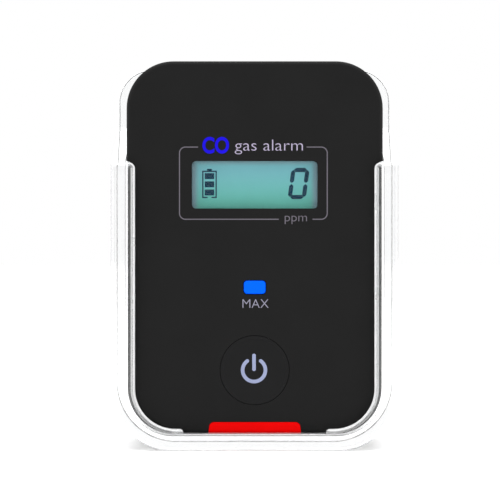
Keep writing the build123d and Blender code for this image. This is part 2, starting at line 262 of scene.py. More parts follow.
def clean(obj: bpy.types.Object, flat: bool = False) -> None:
    """Merges doubled points and turns all faces outwards.

    Args:
        obj: The piece.
        flat: Also dissolves edges between faces in one plane.
    """
    only(obj)
    bpy.ops.object.mode_set(mode="EDIT")
    bpy.ops.mesh.select_all(action="SELECT")
    bpy.ops.mesh.remove_doubles(threshold=0.002 * MM)
    if flat:
        bpy.ops.mesh.dissolve_limited(angle_limit=radians(0.5))
    bpy.ops.mesh.normals_make_consistent(inside=False)
    bpy.ops.object.mode_set(mode="OBJECT")


def smooth(obj: bpy.types.Object, angle: float = 35.0) -> None:
    """Shades a piece smooth below an angle, and keeps its large flats flat."""
    only(obj)
    bpy.ops.object.shade_smooth_by_angle(angle=radians(angle))
    use_modifier(obj, "WEIGHTED_NORMAL", weight=80, keep_sharp=True)


def rounded_block(name: str, low: Sequence[float], high: Sequence[float], low_corner: float,
                  high_corner: float, steps: int = 20) -> bpy.types.Object:
    """Box whose upright outline, as seen from the front, has round corners.

    Args:
        name: Name of the new object.
        low: Lowest corner.
        high: Highest corner.
        low_corner: Radius of the two lower corners, or 0.
        high_corner: Radius of the two upper corners, or 0.
        steps: Segments in each corner.

    Returns:
        The new object.
    """
    obj = block(name, low, high)
    middle = (low[2] + high[2]) / 2
    if low_corner > 0:
        bevel(obj, lambda a, b: runs(Along.Y, a, b) and a.z < middle, low_corner, steps)
    if high_corner > 0:
        bevel(obj, lambda a, b: runs(Along.Y, a, b) and a.z > middle, high_corner, steps)
    return obj


def in_plane(along: Along, place: float) -> EdgeTest:
    """Test for edges that lie in the plane across an axis at a place."""
    index = along.value

    def test(a: Vector, b: Vector) -> bool:
        """True if both ends are in the plane."""
        return abs(a[index] - place) < SAME_PLACE and abs(b[index] - place) < SAME_PLACE

    return test


def node_copy(node: str, name: str) -> bpy.types.Object:
    """A free, merged copy of a CAD node's mesh."""
    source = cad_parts[node]
    obj = source.copy()
    obj.data = source.data.copy()
    obj.name = name
    obj.parent = None
    obj.matrix_world = Matrix.Identity(4)
    bpy.context.scene.collection.objects.link(obj)
    clean(obj, flat=True)
    return obj


# ---- Finishes --------------------------------------------------------------
def set_sockets(node: bpy.types.Node, values: Dict[str, Any]) -> None:
    """Sets a node's own inputs by their names."""
    for name, value in values.items():
        node.inputs[name].default_value = value


@dataclass(frozen=True)
class Finish:
    """One surface: colour, gloss, fine grain and wear, in object coordinates."""

    name: str
    colour: Colour
    roughness: float
    metallic: float = 0.0
    specular: float = 0.5
    grain_per_m: float = 5000.0
    relief: float = 0.006 * MM
    gloss_change: float = 0.06
    colour_change: float = 0.10
    edge_wear: float = 0.0
    transmission: float = 0.0
    ior: float = 1.49
    coat: float = 0.0
    glow: float = 0.0
    subsurface: float = 0.0
    stretch: Tuple[float, float, float] = (1.0, 1.0, 1.0)

    def make(self) -> bpy.types.Material:
        """Builds the material's nodes.

        Returns:
            The new material.
        """
        material = bpy.data.materials.new(self.name)
        material.use_nodes = True
        tree = material.node_tree
        shader = tree.nodes["Principled BSDF"]
        set_sockets(shader, {
            "Base Color": (*self.colour, 1), "Metallic": self.metallic,
            "Specular IOR Level": self.specular, "IOR": self.ior,
            "Transmission Weight": self.transmission,
            "Coat Weight": self.coat, "Coat Roughness": 0.06,
            "Subsurface Weight": self.subsurface, "Subsurface Scale": 0.5 * MM,
            "Emission Color": (*self.colour, 1), "Emission Strength": self.glow,
        })
        place = self.coordinates(tree)
        fine = self.noise(tree, place, self.grain_per_m, 3.0)
        broad = self.noise(tree, place, self.grain_per_m / 60, 4.0)
        self.link_roughness(tree, broad, shader)
        self.link_colour(tree, place, broad, shader)
        self.link_relief(tree, fine, shader)
        return material

    def coordinates(self, tree: bpy.types.NodeTree) -> bpy.types.NodeSocket:
        """Object coordinates, stretched for a brushed or drawn grain."""
        source = tree.nodes.new("ShaderNodeTexCoord")
        mapping = tree.nodes.new("ShaderNodeMapping")
        mapping.inputs["Scale"].default_value = self.stretch
        tree.links.new(source.outputs["Object"], mapping.inputs["Vector"])
        return mapping.outputs["Vector"]

    def noise(self, tree: bpy.types.NodeTree, place: bpy.types.NodeSocket, scale: float,
              detail: float) -> bpy.types.NodeSocket:
        """A noise of a given number of cells per metre."""
        node = tree.nodes.new("ShaderNodeTexNoise")
        set_sockets(node, {"Scale": scale, "Detail": detail})
        tree.links.new(place, node.inputs["Vector"])
        return node.outputs["Fac"]

    def spread(self, tree: bpy.types.NodeTree, source: bpy.types.NodeSocket, low: float,
               high: float, start: float = 0.3, end: float = 0.7) -> bpy.types.NodeSocket:
        """Maps a noise's middle range to a range of values."""
        node = tree.nodes.new("ShaderNodeMapRange")
        set_sockets(node, {"From Min": start, "From Max": end, "To Min": low, "To Max": high})
        tree.links.new(source, node.inputs["Value"])
        return node.outputs["Result"]

    def link_roughness(self, tree: bpy.types.NodeTree, broad: bpy.types.NodeSocket,
                       shader: bpy.types.Node) -> None:
        """Lets the gloss change slowly over the surface."""
        low = max(self.roughness - self.gloss_change / 2, 0.0)
        high = self.roughness + self.gloss_change / 2
        tree.links.new(self.spread(tree, broad, low, high), shader.inputs["Roughness"])

    def link_colour(self, tree: bpy.types.NodeTree, place: bpy.types.NodeSocket,
                    broad: bpy.types.NodeSocket, shader: bpy.types.Node) -> None:
        """Lets the colour change a little over the surface, with paler worn edges."""
        mix = self.mixer(tree, self.scaled(1 - self.colour_change), self.scaled(1 + self.colour_change))
        tree.links.new(self.spread(tree, broad, 0.0, 1.0), mix.inputs["Factor"])
        colour = mix.outputs[2]
        if self.edge_wear > 0:
            worn = self.mixer(tree, self.colour, self.scaled(2.6))
            tree.links.new(colour, worn.inputs[6])
            tree.links.new(self.edges(tree), worn.inputs["Factor"])
            colour = worn.outputs[2]
        tree.links.new(colour, shader.inputs["Base Color"])

    def edges(self, tree: bpy.types.NodeTree) -> bpy.types.NodeSocket:
        """How near a place is to an outside edge, from 0 to the finish's wear."""
        rounded = tree.nodes.new("ShaderNodeBevel")
        rounded.samples = 4
        rounded.inputs["Radius"].default_value = 0.25 * MM
        geometry = tree.nodes.new("ShaderNodeNewGeometry")
        likeness = tree.nodes.new("ShaderNodeVectorMath")
        likeness.operation = "DOT_PRODUCT"
        tree.links.new(rounded.outputs["Normal"], likeness.inputs[0])
        tree.links.new(geometry.outputs["Normal"], likeness.inputs[1])
        return self.spread(tree, likeness.outputs["Value"], self.edge_wear, 0.0, 0.85, 0.99)

    def scaled(self, factor: float) -> Colour:
        """The colour made lighter or darker."""
        red, green, blue = [min(value * factor, 1.0) for value in self.colour]
        return red, green, blue

    @staticmethod
    def maths(tree: bpy.types.NodeTree, operation: str,
              *values: bpy.types.NodeSocket) -> bpy.types.NodeSocket:
        """One sum on the given values."""
        node = tree.nodes.new("ShaderNodeMath")
        node.operation = operation
        for value, socket in zip(values, node.inputs):
            tree.links.new(value, socket)
        return node.outputs["Value"]

    @staticmethod
    def mixer(tree: bpy.types.NodeTree, first: Colour, second: Colour) -> bpy.types.Node:
        """A colour mix node between two colours."""
        mix = tree.nodes.new("ShaderNodeMix")
        mix.data_type = "RGBA"
        mix.inputs[6].default_value = (*first, 1)
        mix.inputs[7].default_value = (*second, 1)
        return mix

    def link_relief(self, tree: bpy.types.NodeTree, fine: bpy.types.NodeSocket,
                    shader: bpy.types.Node) -> None:
        """Adds the fine grain as bump at its real height."""
        bump = tree.nodes.new("ShaderNodeBump")
        set_sockets(bump, {"Strength": 1.0, "Distance": self.relief})
        tree.links.new(fine, bump.inputs["Height"])
        tree.links.new(bump.outputs["Normal"], shader.inputs["Normal"])


@dataclass(frozen=True)
class LcdFinish(Finish):
    """Reflective display: teal, greener low down, with a grey inactive margin at the sides and a grey band
    of painted shade along the top.
    """

    centre_z: float = 0.0
    half_width: float = 14.7 * MM
    half_height: float = 5.55 * MM
    fade: float = 1.9 * MM
    low_colour: Colour = srgb(93, 172, 158)
    high_colour: Colour = srgb(114, 178, 186)
    # Grey of the side margins, also used for the band of painted shade along the top.
    margin_and_shade: Colour = srgb(118, 145, 155)

    def link_colour(self, tree: bpy.types.NodeTree, place: bpy.types.NodeSocket,
                    broad: bpy.types.NodeSocket, shader: bpy.types.Node) -> None:
        """Paints the height gradient, the soft inactive margins at the sides and a band of painted shade
        along the top, under the window's upper edge.
        """
        axes = tree.nodes.new("ShaderNodeSeparateXYZ")
        tree.links.new(place, axes.inputs["Vector"])
        rise = self.spread(
            tree, axes.outputs["Z"], 0.0, 1.0,
            self.centre_z - 0.8 * self.half_height, self.centre_z + 0.6 * self.half_height,
        )
        body = self.mixer(tree, self.low_colour, self.high_colour)
        tree.links.new(rise, body.inputs["Factor"])
        across = self.maths(tree, "ABSOLUTE", axes.outputs["X"])
        side = self.edge_fade(tree, across, self.half_width)
        # The band along the top is painted shade under the window's upper edge; the side bands are the
        # display's own inactive margin.
        top = self.edge_fade(tree, axes.outputs["Z"], self.centre_z + self.half_height + 0.6 * MM)
        edged = self.mixer(tree, self.colour, self.margin_and_shade)
        tree.links.new(body.outputs[2], edged.inputs[6])
        tree.links.new(self.maths(tree, "MAXIMUM", side, top), edged.inputs["Factor"])
        tree.links.new(edged.outputs[2], shader.inputs["Base Color"])
        # The display's painted glow takes these same colours, including the band of painted shade.
        tree.links.new(edged.outputs[2], shader.inputs["Emission Color"])

    def edge_fade(self, tree: bpy.types.NodeTree, distance: bpy.types.NodeSocket,
                  edge: float) -> bpy.types.NodeSocket:
        """A smooth rise from 0 to 1 over the last stretch before an edge."""
        ramp = tree.nodes.new("ShaderNodeMapRange")
        ramp.interpolation_type = "SMOOTHSTEP"
        set_sockets(ramp, {"From Min": edge - self.fade, "From Max": edge - 0.2 * MM})
        tree.links.new(distance, ramp.inputs["Value"])
        return ramp.outputs["Result"]


@dataclass(frozen=True)
class SleeveFinish(Finish):
    """Printed sleeve of a small cell: a plain band between two heights near one end."""

    band: Colour = srgb(196, 132, 62)
    band_low: float = 0.0
    band_high: float = 0.0

    def link_colour(self, tree: bpy.types.NodeTree, place: bpy.types.NodeSocket,
                    broad: bpy.types.NodeSocket, shader: bpy.types.Node) -> None:
        """Paints the band between two heights."""
        axes = tree.nodes.new("ShaderNodeSeparateXYZ")
        tree.links.new(place, axes.inputs["Vector"])
        edge = 0.05 * MM
        above = self.spread(tree, axes.outputs["Z"], 0.0, 1.0, self.band_low, self.band_low + edge)
        below = self.spread(tree, axes.outputs["Z"], 1.0, 0.0, self.band_high, self.band_high + edge)
        mix = self.mixer(tree, self.colour, self.band)
        tree.links.new(self.maths(tree, "MULTIPLY", above, below), mix.inputs["Factor"])
        tree.links.new(mix.outputs[2], shader.inputs["Base Color"])


CLEAR = Finish("clear_polycarbonate", (0.965, 0.97, 0.975), 0.06, grain_per_m=900, relief=0.002 * MM,
               gloss_change=0.04, colour_change=0.01, transmission=0.985)
# Painted light: these are less clear than the holder, so the lips' rounded free edge shows a white line of
# painted highlight and a paler grey flank of painted sheen, in place of the light the clear edge carries
# from the white surround.
BEAD_HIGHLIGHT = Finish("clear_bead_satin", (0.965, 0.97, 0.975), 0.3, grain_per_m=4000, relief=0.01 * MM,
              gloss_change=0.1, colour_change=0.02, transmission=0.45)
BEAD_FLANK_SHEEN = Finish("clear_bead_flank", (0.965, 0.97, 0.975), 0.25, grain_per_m=4000,
                    relief=0.015 * MM, gloss_change=0.1, colour_change=0.03, transmission=0.85)
FROSTED = Finish("frosted_polycarbonate", srgb(236, 238, 240), 0.38, grain_per_m=4000,
                 relief=0.004 * MM, colour_change=0.03, transmission=0.55, subsurface=0.1)
WINDOW = Finish("window_acrylic", (0.98, 0.99, 0.99), 0.02, grain_per_m=400, relief=0.0,
                gloss_change=0.02, colour_change=0.005, transmission=1.0, ior=1.2)
MOULDED = Finish("moulded_black", (0.0065, 0.0065, 0.0065), 0.56, specular=0.1, relief=0.007 * MM,
                 gloss_change=0.08, edge_wear=0.35)
KEY_TOP = Finish("key_black", (0.0065, 0.0065, 0.0067), 0.50, specular=0.1, relief=0.005 * MM,
                 grain_per_m=6500, edge_wear=0.5)
BLUE_KEY = Finish("key_blue", (0.0, 0.098, 0.93), 0.35, specular=0.03, relief=0.002 * MM,
                  colour_change=0.05)
RED_LENS = Finish("lens_red", (0.7, 0.0, 0.0), 0.25, specular=0.03, relief=0.001 * MM,
                  colour_change=0.04, subsurface=0.1)
RUBBER = Finish("seal_rubber", (0.012, 0.012, 0.012), 0.8, specular=0.25, relief=0.01 * MM)
STEEL = Finish("zinc_steel", (0.58, 0.585, 0.6), 0.3, metallic=1.0, relief=0.002 * MM,
               gloss_change=0.14, stretch=(0.15, 1.0, 1.0))
SPRING_STEEL = Finish("spring_steel", (0.5, 0.5, 0.52), 0.24, metallic=1.0, relief=0.001 * MM)
NICKEL = Finish("nickel_plate", (0.66, 0.63, 0.58), 0.2, metallic=1.0, relief=0.001 * MM)
GOLD = Finish("gilt_pin", (0.83, 0.61, 0.26), 0.25, metallic=1.0, relief=0.001 * MM)
SENSOR_CAN = Finish("sensor_can", (0.62, 0.62, 0.61), 0.33, metallic=1.0, relief=0.002 * MM,
                    stretch=(1.0, 0.1, 1.0))
PRINT_GREY = Finish("print_grey", srgb(158, 150, 172), 0.5, specular=0.1, relief=0.002 * MM)
PRINT_MID = Finish("print_mid_grey", srgb(132, 130, 146), 0.5, specular=0.1, relief=0.002 * MM)
PRINT_DIM = Finish("print_dim_grey", srgb(94, 90, 98), 0.5, specular=0.1, relief=0.002 * MM)
PRINT_BLUE = Finish("print_blue", srgb(24, 12, 190), 0.45, specular=0.05, relief=0.002 * MM)
PRINT_SYMBOL = Finish("print_symbol", srgb(134, 141, 170), 0.45, specular=0.1, relief=0.002 * MM)
LCD_INK = Finish("lcd_ink", srgb(20, 56, 76), 0.5, specular=0.05, relief=0.0, colour_change=0.05)
MILKY = Finish("milky_guide", (0.82, 0.86, 0.84), 0.35, subsurface=0.3)
ELASTOMER = Finish("elastomer_layers", (0.42, 0.16, 0.15), 0.7, stretch=(1.0, 1.0, 30.0),
                   colour_change=0.4)
BOARD = Finish("solder_mask", (0.012, 0.12, 0.05), 0.3, grain_per_m=2500, relief=0.01 * MM,
               colour_change=0.25, coat=0.3)
CHIP = Finish("chip_epoxy", (0.018, 0.018, 0.02), 0.55, relief=0.004 * MM)
CERAMIC = Finish("chip_parts", (0.42, 0.3, 0.18), 0.5, colour_change=0.3)
LAMP = Finish("lamp_epoxy", (0.62, 0.03, 0.02), 0.15, transmission=0.4, relief=0.0)
MEMBRANE = Finish("porous_membrane", (0.82, 0.82, 0.8), 0.9, grain_per_m=9000, relief=0.03 * MM)
CRADLE = Finish("cradle_plastic", (0.03, 0.03, 0.033), 0.5, edge_wear=0.2)
SWITCH = Finish("switch_body", (0.022, 0.022, 0.025), 0.42)


class Paint:
    """Keeps each finish's material, made once."""

    made: dict = {}

    @classmethod
    def of(cls, finish: Finish) -> bpy.types.Material:
        """The material of a finish."""
        if finish.name not in cls.made:
            cls.made[finish.name] = finish.make()
        return cls.made[finish.name]


def dress(obj: bpy.types.Object, finish: Finish) -> None:
    """Gives a piece one finish all over."""
    material = Paint.of(finish)
    if obj.data.materials:
        for index in range(len(obj.data.materials)):
            obj.data.materials[index] = material
    else:
        obj.data.materials.append(material)


def place(obj: bpy.types.Object, body: Body, slot: str = "", nodes: Iterable[str] = ()) -> None:
    """Fits a finished piece to its body and reports it.

    Args:
        obj: The piece.
        body: The body it moves with.
        slot: The record's material slot, or nothing for print; not used.
        nodes: The CAD nodes it stands for.
    """
    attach(obj, body.value)
    if nodes:
        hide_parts(*nodes)
    log.info("%s on %s: %d faces", obj.name, body.value, len(obj.data.polygons))


# ---- Clear holder ----------------------------------------------------------
@dataclass
class ClearHolder:
    """The clear slide-in holder: walls, front lips, back plate and clip lugs."""

    wall: float = 3.2 * MM
    lip: float = 2.0 * MM
    lip_half_opening: float = 27.85 * MM
    lip_height: float = 1.9 * MM
    notch_half: float = 16.6 * MM
    notch_ridge: float = 0.9 * MM
    lip_corner: float = 9.4 * MM
    outer_corner: float = 14.5 * MM
    plate_corner: float = 8.0 * MM
    plate: float = 2.6 * MM
    wall_front: float = 66.4 * MM
    wall_back: float = 77.0 * MM
    lip_top: float = 67.1 * MM
    lug_radius: float = 2.6 * MM
    inner_round: float = 1.4 * MM
    bead: float = 0.85 * MM
    lip_end: float = 1.5 * MM
    outer_round: float = 1.1 * MM
    back_round: float = 0.3 * MM
    step: float = 0.02 * MM
    edge: float = 0.45 * MM
    plate_gap: float = 0.3 * MM
    tops_below: float = 1.2 * MM
    rough_room: float = 0.05 * MM
    wedge_past: float = 10.0 * MM
    lug_x: Spot = (7.8 * MM, 10.4 * MM)
    lug_root: float = 0.4 * MM
    bore_radius: float = 1.01 * MM
    bore_half: float = 11.0 * MM
    highlight_share: float = 0.45
    bead_area: float = 20 * MM * MM
    steps: int = 24

    def __post_init__(self) -> None:
        """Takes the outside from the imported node."""
        self.low, self.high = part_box("holder")
        pin_low, pin_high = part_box("clip_pin")
        self.pin = (pin_low + pin_high) / 2
        self.half = self.high[0]
        self.front = self.low[1]
        self.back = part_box("rear_shell")[1][1] + self.plate_gap + self.plate
        self.top = self.high[2]

    def build(self) -> bpy.types.Object:
        """Builds and fits the holder.

        Returns:
            The finished piece.
        """
        shell = rounded_block(
            "clear_holder", (-self.half, self.front, 0), (self.half, self.back, self.top),
            self.outer_corner, self.plate_corner, self.steps,
        )
        cut(shell, self.cavity(), *self.rough_opening(), self.above_wall(-1), self.above_wall(1))
        clean(shell, flat=True)
        bevel(shell, in_plane(Along.Y, self.back), self.back_round, 5)
        bevel(shell, self.outer_rim, self.outer_round, 8)
        soften(shell, self.edge, 5, 40)
        weld(shell, self.lips())
        cut(shell, self.notch())
        self.add_lugs(shell)
        clean(shell)
        smooth(shell, 40)
        dress(shell, CLEAR)
        self.paint_bead_highlight(shell)
        place(shell, Body.HOLDER, "clear_plastic", ["holder"])
        return shell

    def cavity(self) -> bpy.types.Object:
        """The room that the monitor slides into."""
        side = self.half - self.wall
        ends = (self.front + self.lip, self.back - self.plate)
        room = rounded_block(
            "tool_cavity", (-side, ends[0], self.wall), (side, ends[1], self.top + ABOVE),
            self.outer_corner - self.wall, 0, self.steps,
        )
        for depth in ends:
            bevel(room, in_plane(Along.Y, depth), self.inner_round, 6)
        return room

    def rough_opening(self) -> List[bpy.types.Object]:
        """Cuts in the front wall that leave room for the lips' rounded free edge and their tops."""
        near, far = self.front - PAST, self.front + self.lip + self.step
        grow = self.bead + self.rough_room
        side = self.lip_half_opening + grow
        opening = rounded_block(
            "tool_rough", (-side, near, self.wall + self.lip_height - grow), (side, far, self.top + ABOVE),
            self.lip_corner + grow, 0, self.steps,
        )
        above = block(
            "tool_tops", (self.wall - self.half, near, self.lip_top - self.tops_below),
            (self.half - self.wall, far, self.top + ABOVE),
        )
        return [opening, above]

    def lips(self) -> bpy.types.Object:
        """Both lips as one plate, rooted in the walls, with a full-round free edge.

        Returns:
            The plate.
        """
        root = self.half - self.wall / 2
        plate = rounded_block(
            "tool_lips", (-root, self.front + self.step, self.wall / 2),
            (root, self.front + self.lip - self.step, self.lip_top),
            self.outer_corner - self.wall / 2, 0, self.steps,
        )
        cut(plate, self.lip_opening())
        clean(plate, flat=True)
        bevel(plate, self.lip_tops, self.lip_end, 8)
        bevel(plate, self.free_edges, self.bead, 8)
        clean(plate)
        return plate

    def lip_opening(self) -> bpy.types.Object:
        """The open front between the lips."""
        return rounded_block(
            "tool_opening", (-self.lip_half_opening, self.front - PAST, self.wall + self.lip_height),
            (self.lip_half_opening, self.front + self.lip + PAST, self.top + ABOVE),
            self.lip_corner, 0, self.steps,
        )

    def notch(self) -> bpy.types.Object:
        """The low gap in front of the alarm lens, which leaves round ends on the lips."""
        turn = self.lip_height - self.notch_ridge
        floor = self.wall + self.notch_ridge
        near, far = self.front - PAST, self.front + self.lip + PAST
        reach = self.notch_half + turn
        gap = block("tool_notch", (-reach, near, floor), (reach, far, self.wall + 3 * self.lip_height))
        for side in (-1, 1):
            start = (side * reach, near - PAST, floor)
            cut(gap, rod("tool_end", start, far - near + 2 * PAST, turn, Along.Y, 40))
        return gap

    def above_wall(self, side: int) -> bpy.types.Object:
        """A wedge over the sloping top of one side wall.

        Args:
            side: -1 for the left wall, 1 for the right one.

        Returns:
            The wedge.
        """
        reach = self.back - self.plate
        start = self.front - PAST
        slope = (self.wall_back - self.wall_front) / (reach - self.front)
        low = self.wall_front - slope * PAST
        inner = side * (self.lip_half_opening - 2 * PAST)
        outer = side * (self.half + self.wedge_past)
        wedge = block(
            "tool_wedge", (min(inner, outer), start, low), (max(inner, outer), reach, self.top + ABOVE),
        )
        pick(wedge, Part.VERT, lambda vertex: vertex.co.y > reach - PAST and vertex.co.z < low + PAST)
        bpy.ops.transform.translate(value=(0, 0, self.wall_back - low))
        bpy.ops.object.mode_set(mode="OBJECT")
        return wedge

    def lip_tops(self, a: Vector, b: Vector) -> bool:
        """Picks the inner upper corner of both lips."""
        inner = abs(abs(a.x) - self.lip_half_opening) < SAME_PLACE
        return runs(Along.Y, a, b) and inner and a.z > self.lip_top - SAME_PLACE

    def from_opening(self, point: Vector) -> float:
        """Distance of a point outwards from the outline of the open front."""
        corner_x = self.lip_half_opening - self.lip_corner
        corner_z = self.wall + self.lip_height + self.lip_corner
        x = abs(point.x)
        ledge = self.wall + self.lip_height
        if x <= self.notch_half + SAME_PLACE and point.z < ledge:
            return self.wall + self.notch_ridge - point.z
        if x <= corner_x:
            return ledge - point.z
        if point.z >= corner_z:
            return x - self.lip_half_opening
        return Vector((x - corner_x, point.z - corner_z)).length - self.lip_corner

    def outer_rim(self, a: Vector, b: Vector) -> bool:
        """Picks the front edge of the outer outline."""
        nearest = min(self.from_opening(a), self.from_opening(b))
        return in_plane(Along.Y, self.front)(a, b) and nearest > self.wall

    def from_free_edge(self, point: Vector) -> float:
        """Distance of a point on a lip from the lip's free edge, round its upper corner too."""
        side = self.from_opening(point)
        top = self.lip_top - point.z
        if side < self.lip_end and top < self.lip_end:
            return self.lip_end - Vector((self.lip_end - side, self.lip_end - top)).length
        return min(side, top)

    def free_edges(self, a: Vector, b: Vector) -> bool:
        """Picks the front and back edges all round the lips' free edge."""
        faces = (self.front + self.step, self.front + self.lip - self.step)
        in_face = any(in_plane(Along.Y, y)(a, b) for y in faces)
        return in_face and max(self.from_free_edge(a), self.from_free_edge(b)) < 5 * SAME_PLACE

    def paint_bead_highlight(self, shell: bpy.types.Object) -> None:
        """Paints light on the rounded free edge of the lips: a whitish band of painted highlight nearest the
        edge and a paler grey band of painted sheen behind it.

        Args:
            shell: The whole holder; its large flats keep the clear finish.
        """
        shell.data.materials.append(Paint.of(BEAD_HIGHLIGHT))
        shell.data.materials.append(Paint.of(BEAD_FLANK_SHEEN))
        root = self.half - self.wall
        for face in shell.data.polygons:
            away = self.from_free_edge(face.center)
            behind = face.center.y > self.front + self.lip + self.step
            if behind or abs(face.center.x) > root or face.area > self.bead_area:
                continue
            # The faces nearest the free edge get the painted highlight, and the next ones get the painted
            # sheen.
            if away < self.highlight_share * self.bead:
                face.material_index = 1
            elif away < self.bead:
                face.material_index = 2

    def add_lugs(self, shell: bpy.types.Object) -> None:
        """Joins the two lugs that carry the clip's pin to the back plate."""
        for side in (-1, 1):
            inner, outer = sorted(side * x for x in self.lug_x)
            lug = block(
                "tool_lug", (inner, self.back - self.lug_root, self.pin.z - self.lug_radius),
                (outer, self.pin.y + self.lug_radius, self.pin.z + self.lug_radius),
            )
            tip = self.pin.y + self.lug_radius - SAME_PLACE
            bevel(lug, lambda a, b: runs(Along.X, a, b) and a.y > tip, self.lug_radius * 0.99, 12)
            bevel(lug, lambda a, b: not runs(Along.X, a, b) and min(a.y, b.y) > self.back, 0.25 * MM, 3)
            weld(shell, lug)
        start = (-self.bore_half, self.pin.y, self.pin.z)
        cut(shell, rod("tool_bore", start, 2 * self.bore_half, self.bore_radius, Along.X, 32))


# ---- Belt clip -------------------------------------------------------------
@dataclass
class BeltClip:
    """The sprung lever behind the holder, with its pin and spring."""

    edge: float = 0.4 * MM

    def build(self) -> None:
        """Builds the lever and dresses the pin and the spring."""
        lever = node_copy("clip_lever", "belt_clip_lever")
        soften(lever, self.edge, 4, 35)
        clean(lever)
        smooth(lever, 40)
        dress(lever, FROSTED)
        place(lever, Body.CLIP, "clip_plastic", ["clip_lever"])
        dress(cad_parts["clip_pin"], STEEL)
        dress(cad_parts["clip_spring"], SPRING_STEEL)


# ---- Casing ----------------------------------------------------------------
@dataclass(frozen=True)
class Turned:
    """A round boss or hole that runs back from a depth behind the face, in millimetres."""

    start: float
    length: float
    radius: float
    sides: int


@dataclass(frozen=True)
class ScrewSize:
    """A screw driven from the back: its depths are behind the face, in millimetres."""

    radius: float
    seat: float
    head: float
    tip: float


@dataclass
class Casing:
    """The monitor's two shells, battery cover and screws."""

    skin: float = 2.0 * MM
    rear_skin: float = 1.8 * MM
    corner: float = 11.0 * MM
    front_edge: float = 1.2 * MM
    rear_edge: float = 1.6 * MM
    opening_edge: float = 0.18 * MM
    window: Spot = (29.4 * MM, 11.1 * MM)
    window_z: float = 61.95 * MM
    power_radius: float = 8.15 * MM
    power_z: float = 18.65 * MM
    max_size: Spot = (5.4 * MM, 3.4 * MM)
    max_z: float = 38.0 * MM
    boss_x: float = 22.5 * MM
    boss_zs: Spot = (13.0 * MM, 81.4 * MM)
    front_stem: Turned = Turned(1.8, 5.2, 3.5, 32)
    front_neck: Turned = Turned(6.8, 6.4, 2.5, 32)
    front_pilot: Turned = Turned(8.6, 6.0, 1.03, 24)
    rear_boss: Turned = Turned(13.6, 6.8, 4.0, 40)
    rear_well: Turned = Turned(17.5, 6.0, 2.5, 40)
    rear_hole: Turned = Turned(13.0, 5.0, 1.2, 24)
    cover_post: Turned = Turned(13.6, 4.9, 3.0, 32)
    cover_pilot: Turned = Turned(13.0, 8.0, 1.03, 24)
    cover_seat: Turned = Turned(20.9, 3.0, 2.2, 40)
    cover_hole: Turned = Turned(19.0, 5.0, 1.15, 24)
    case_screw: ScrewSize = ScrewSize(2.1, 17.5, 1.6, 9.6)
    cover_screw: ScrewSize = ScrewSize(1.9, 20.9, 1.0, 15.0)
    cross: Spot = (1.1 * MM, 0.25 * MM)
    cross_depth: float = 0.7 * MM
    cover_screw_z: float = 63.2 * MM
    cover_start_mm: float = 20.2
    cover_zs: Spot = (6.9 * MM, 60.2 * MM)
    cover_half: float = 13.0 * MM
    tab_zs: Spot = (59.0 * MM, 65.8 * MM)
    tab_half: float = 5.8 * MM
    ledge_zs: Spot = (60.5 * MM, 67.3 * MM)
    ledge_half: float = 7.2 * MM
    ledge_depths_mm: Spot = (18.3, 20.4)
    groove_half: float = 7.0 * MM
    groove_depth: float = 0.5 * MM
    groove_first_mm: float = 14.0
    groove_pitch_mm: float = 2.5
    grooves: int = 3
    vent_half: float = 0.6 * MM
    vent_depths_mm: Spot = (4.5, 10.0)
    vent_first_mm: float = 5.0
    vent_pitch_mm: float = 3.0
    vents: int = 5
    steps: int = 20

    def __post_init__(self) -> None:
        """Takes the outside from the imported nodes."""
        self.low, self.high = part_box("front_shell")
        self.rear_low, self.rear_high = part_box("rear_shell")
        self.face = self.low[1]
        self.split = self.high[1]
        self.back = self.rear_high[1]

    def build(self) -> None:
        """Builds every piece of the casing."""
        self.front_shell()
        self.rear_shell()
        self.battery_cover()
        self.screws()
        dress(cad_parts["shell_seal"], RUBBER)

    def depth(self, distance: float) -> float:
        """The Y of a depth behind the face, given in millimetres."""
        return self.face + distance * MM

    def boss_places(self) -> List[Spot]:
        """Where the four case screws go."""
        return [(side * self.boss_x, z) for side in (-1, 1) for z in self.boss_zs]

    def turned(self, feature: Turned, x: float, z: float) -> bpy.types.Object:
        """A round boss or hole's tool at one place on the casing."""
        start = (x, self.depth(feature.start), z)
        return rod("tool_turned", start, feature.length * MM, feature.radius * MM, Along.Y, feature.sides)

    def hollow(self, shell: bpy.types.Object, towards: float, depth: float) -> None:
        """Opens a block into a tray by an inset and an extrusion.

        Args:
            shell: The block.
            towards: Sign of the Y direction that the open side faces.
            depth: How deep the tray is.
        """
        pick(shell, Part.FACE, lambda face: face.normal.y * towards > 0.99)
        bpy.ops.mesh.inset(thickness=self.skin, depth=0)
        bpy.ops.mesh.extrude_region_move(
            TRANSFORM_OT_translate={"value": (0, -towards * depth, 0)}
        )
        bpy.ops.object.mode_set(mode="OBJECT")

    def openings(self) -> List[bpy.types.Object]:
        """Tools for the openings in the front wall and the top vents."""
        near = self.face - PAST
        far = self.face + self.skin + PAST
        half_w, half_h = self.window[0] / 2, self.window[1] / 2
        window = rounded_block(
            "tool_window", (-half_w, near, self.window_z - half_h),
            (half_w, far, self.window_z + half_h), MM, MM, 8,
        )
        half_w, half_h = self.max_size[0] / 2, self.max_size[1] / 2
        small = rounded_block(
            "tool_max", (-half_w, near, self.max_z - half_h),
            (half_w, far, self.max_z + half_h), 0.95 * MM, 0.95 * MM, 8,
        )
        power = rod("tool_power", (0, near, self.power_z), far - near, self.power_radius, Along.Y, 96)
        tools = [window, small, power, AlarmLens.prism("tool_lens", 0.1 * MM)]
        for side in (-1, 1):
            for step in range(self.vents):
                tools.append(self.vent(side * (self.vent_first_mm + self.vent_pitch_mm * step) * MM))
        return tools

    def vent(self, x: float) -> bpy.types.Object:
        """Tool for one slot with round ends in the top wall."""
        half = self.vent_half
        near, far = (self.depth(distance) for distance in self.vent_depths_mm)
        slot = block(
            "tool_vent", (x - half, near, self.high[2] - self.skin - PAST),
            (x + half, far, self.high[2] + PAST),
        )
        bevel(slot, lambda a, b: runs(Along.Z, a, b), half * 0.98, 6)
        return slot

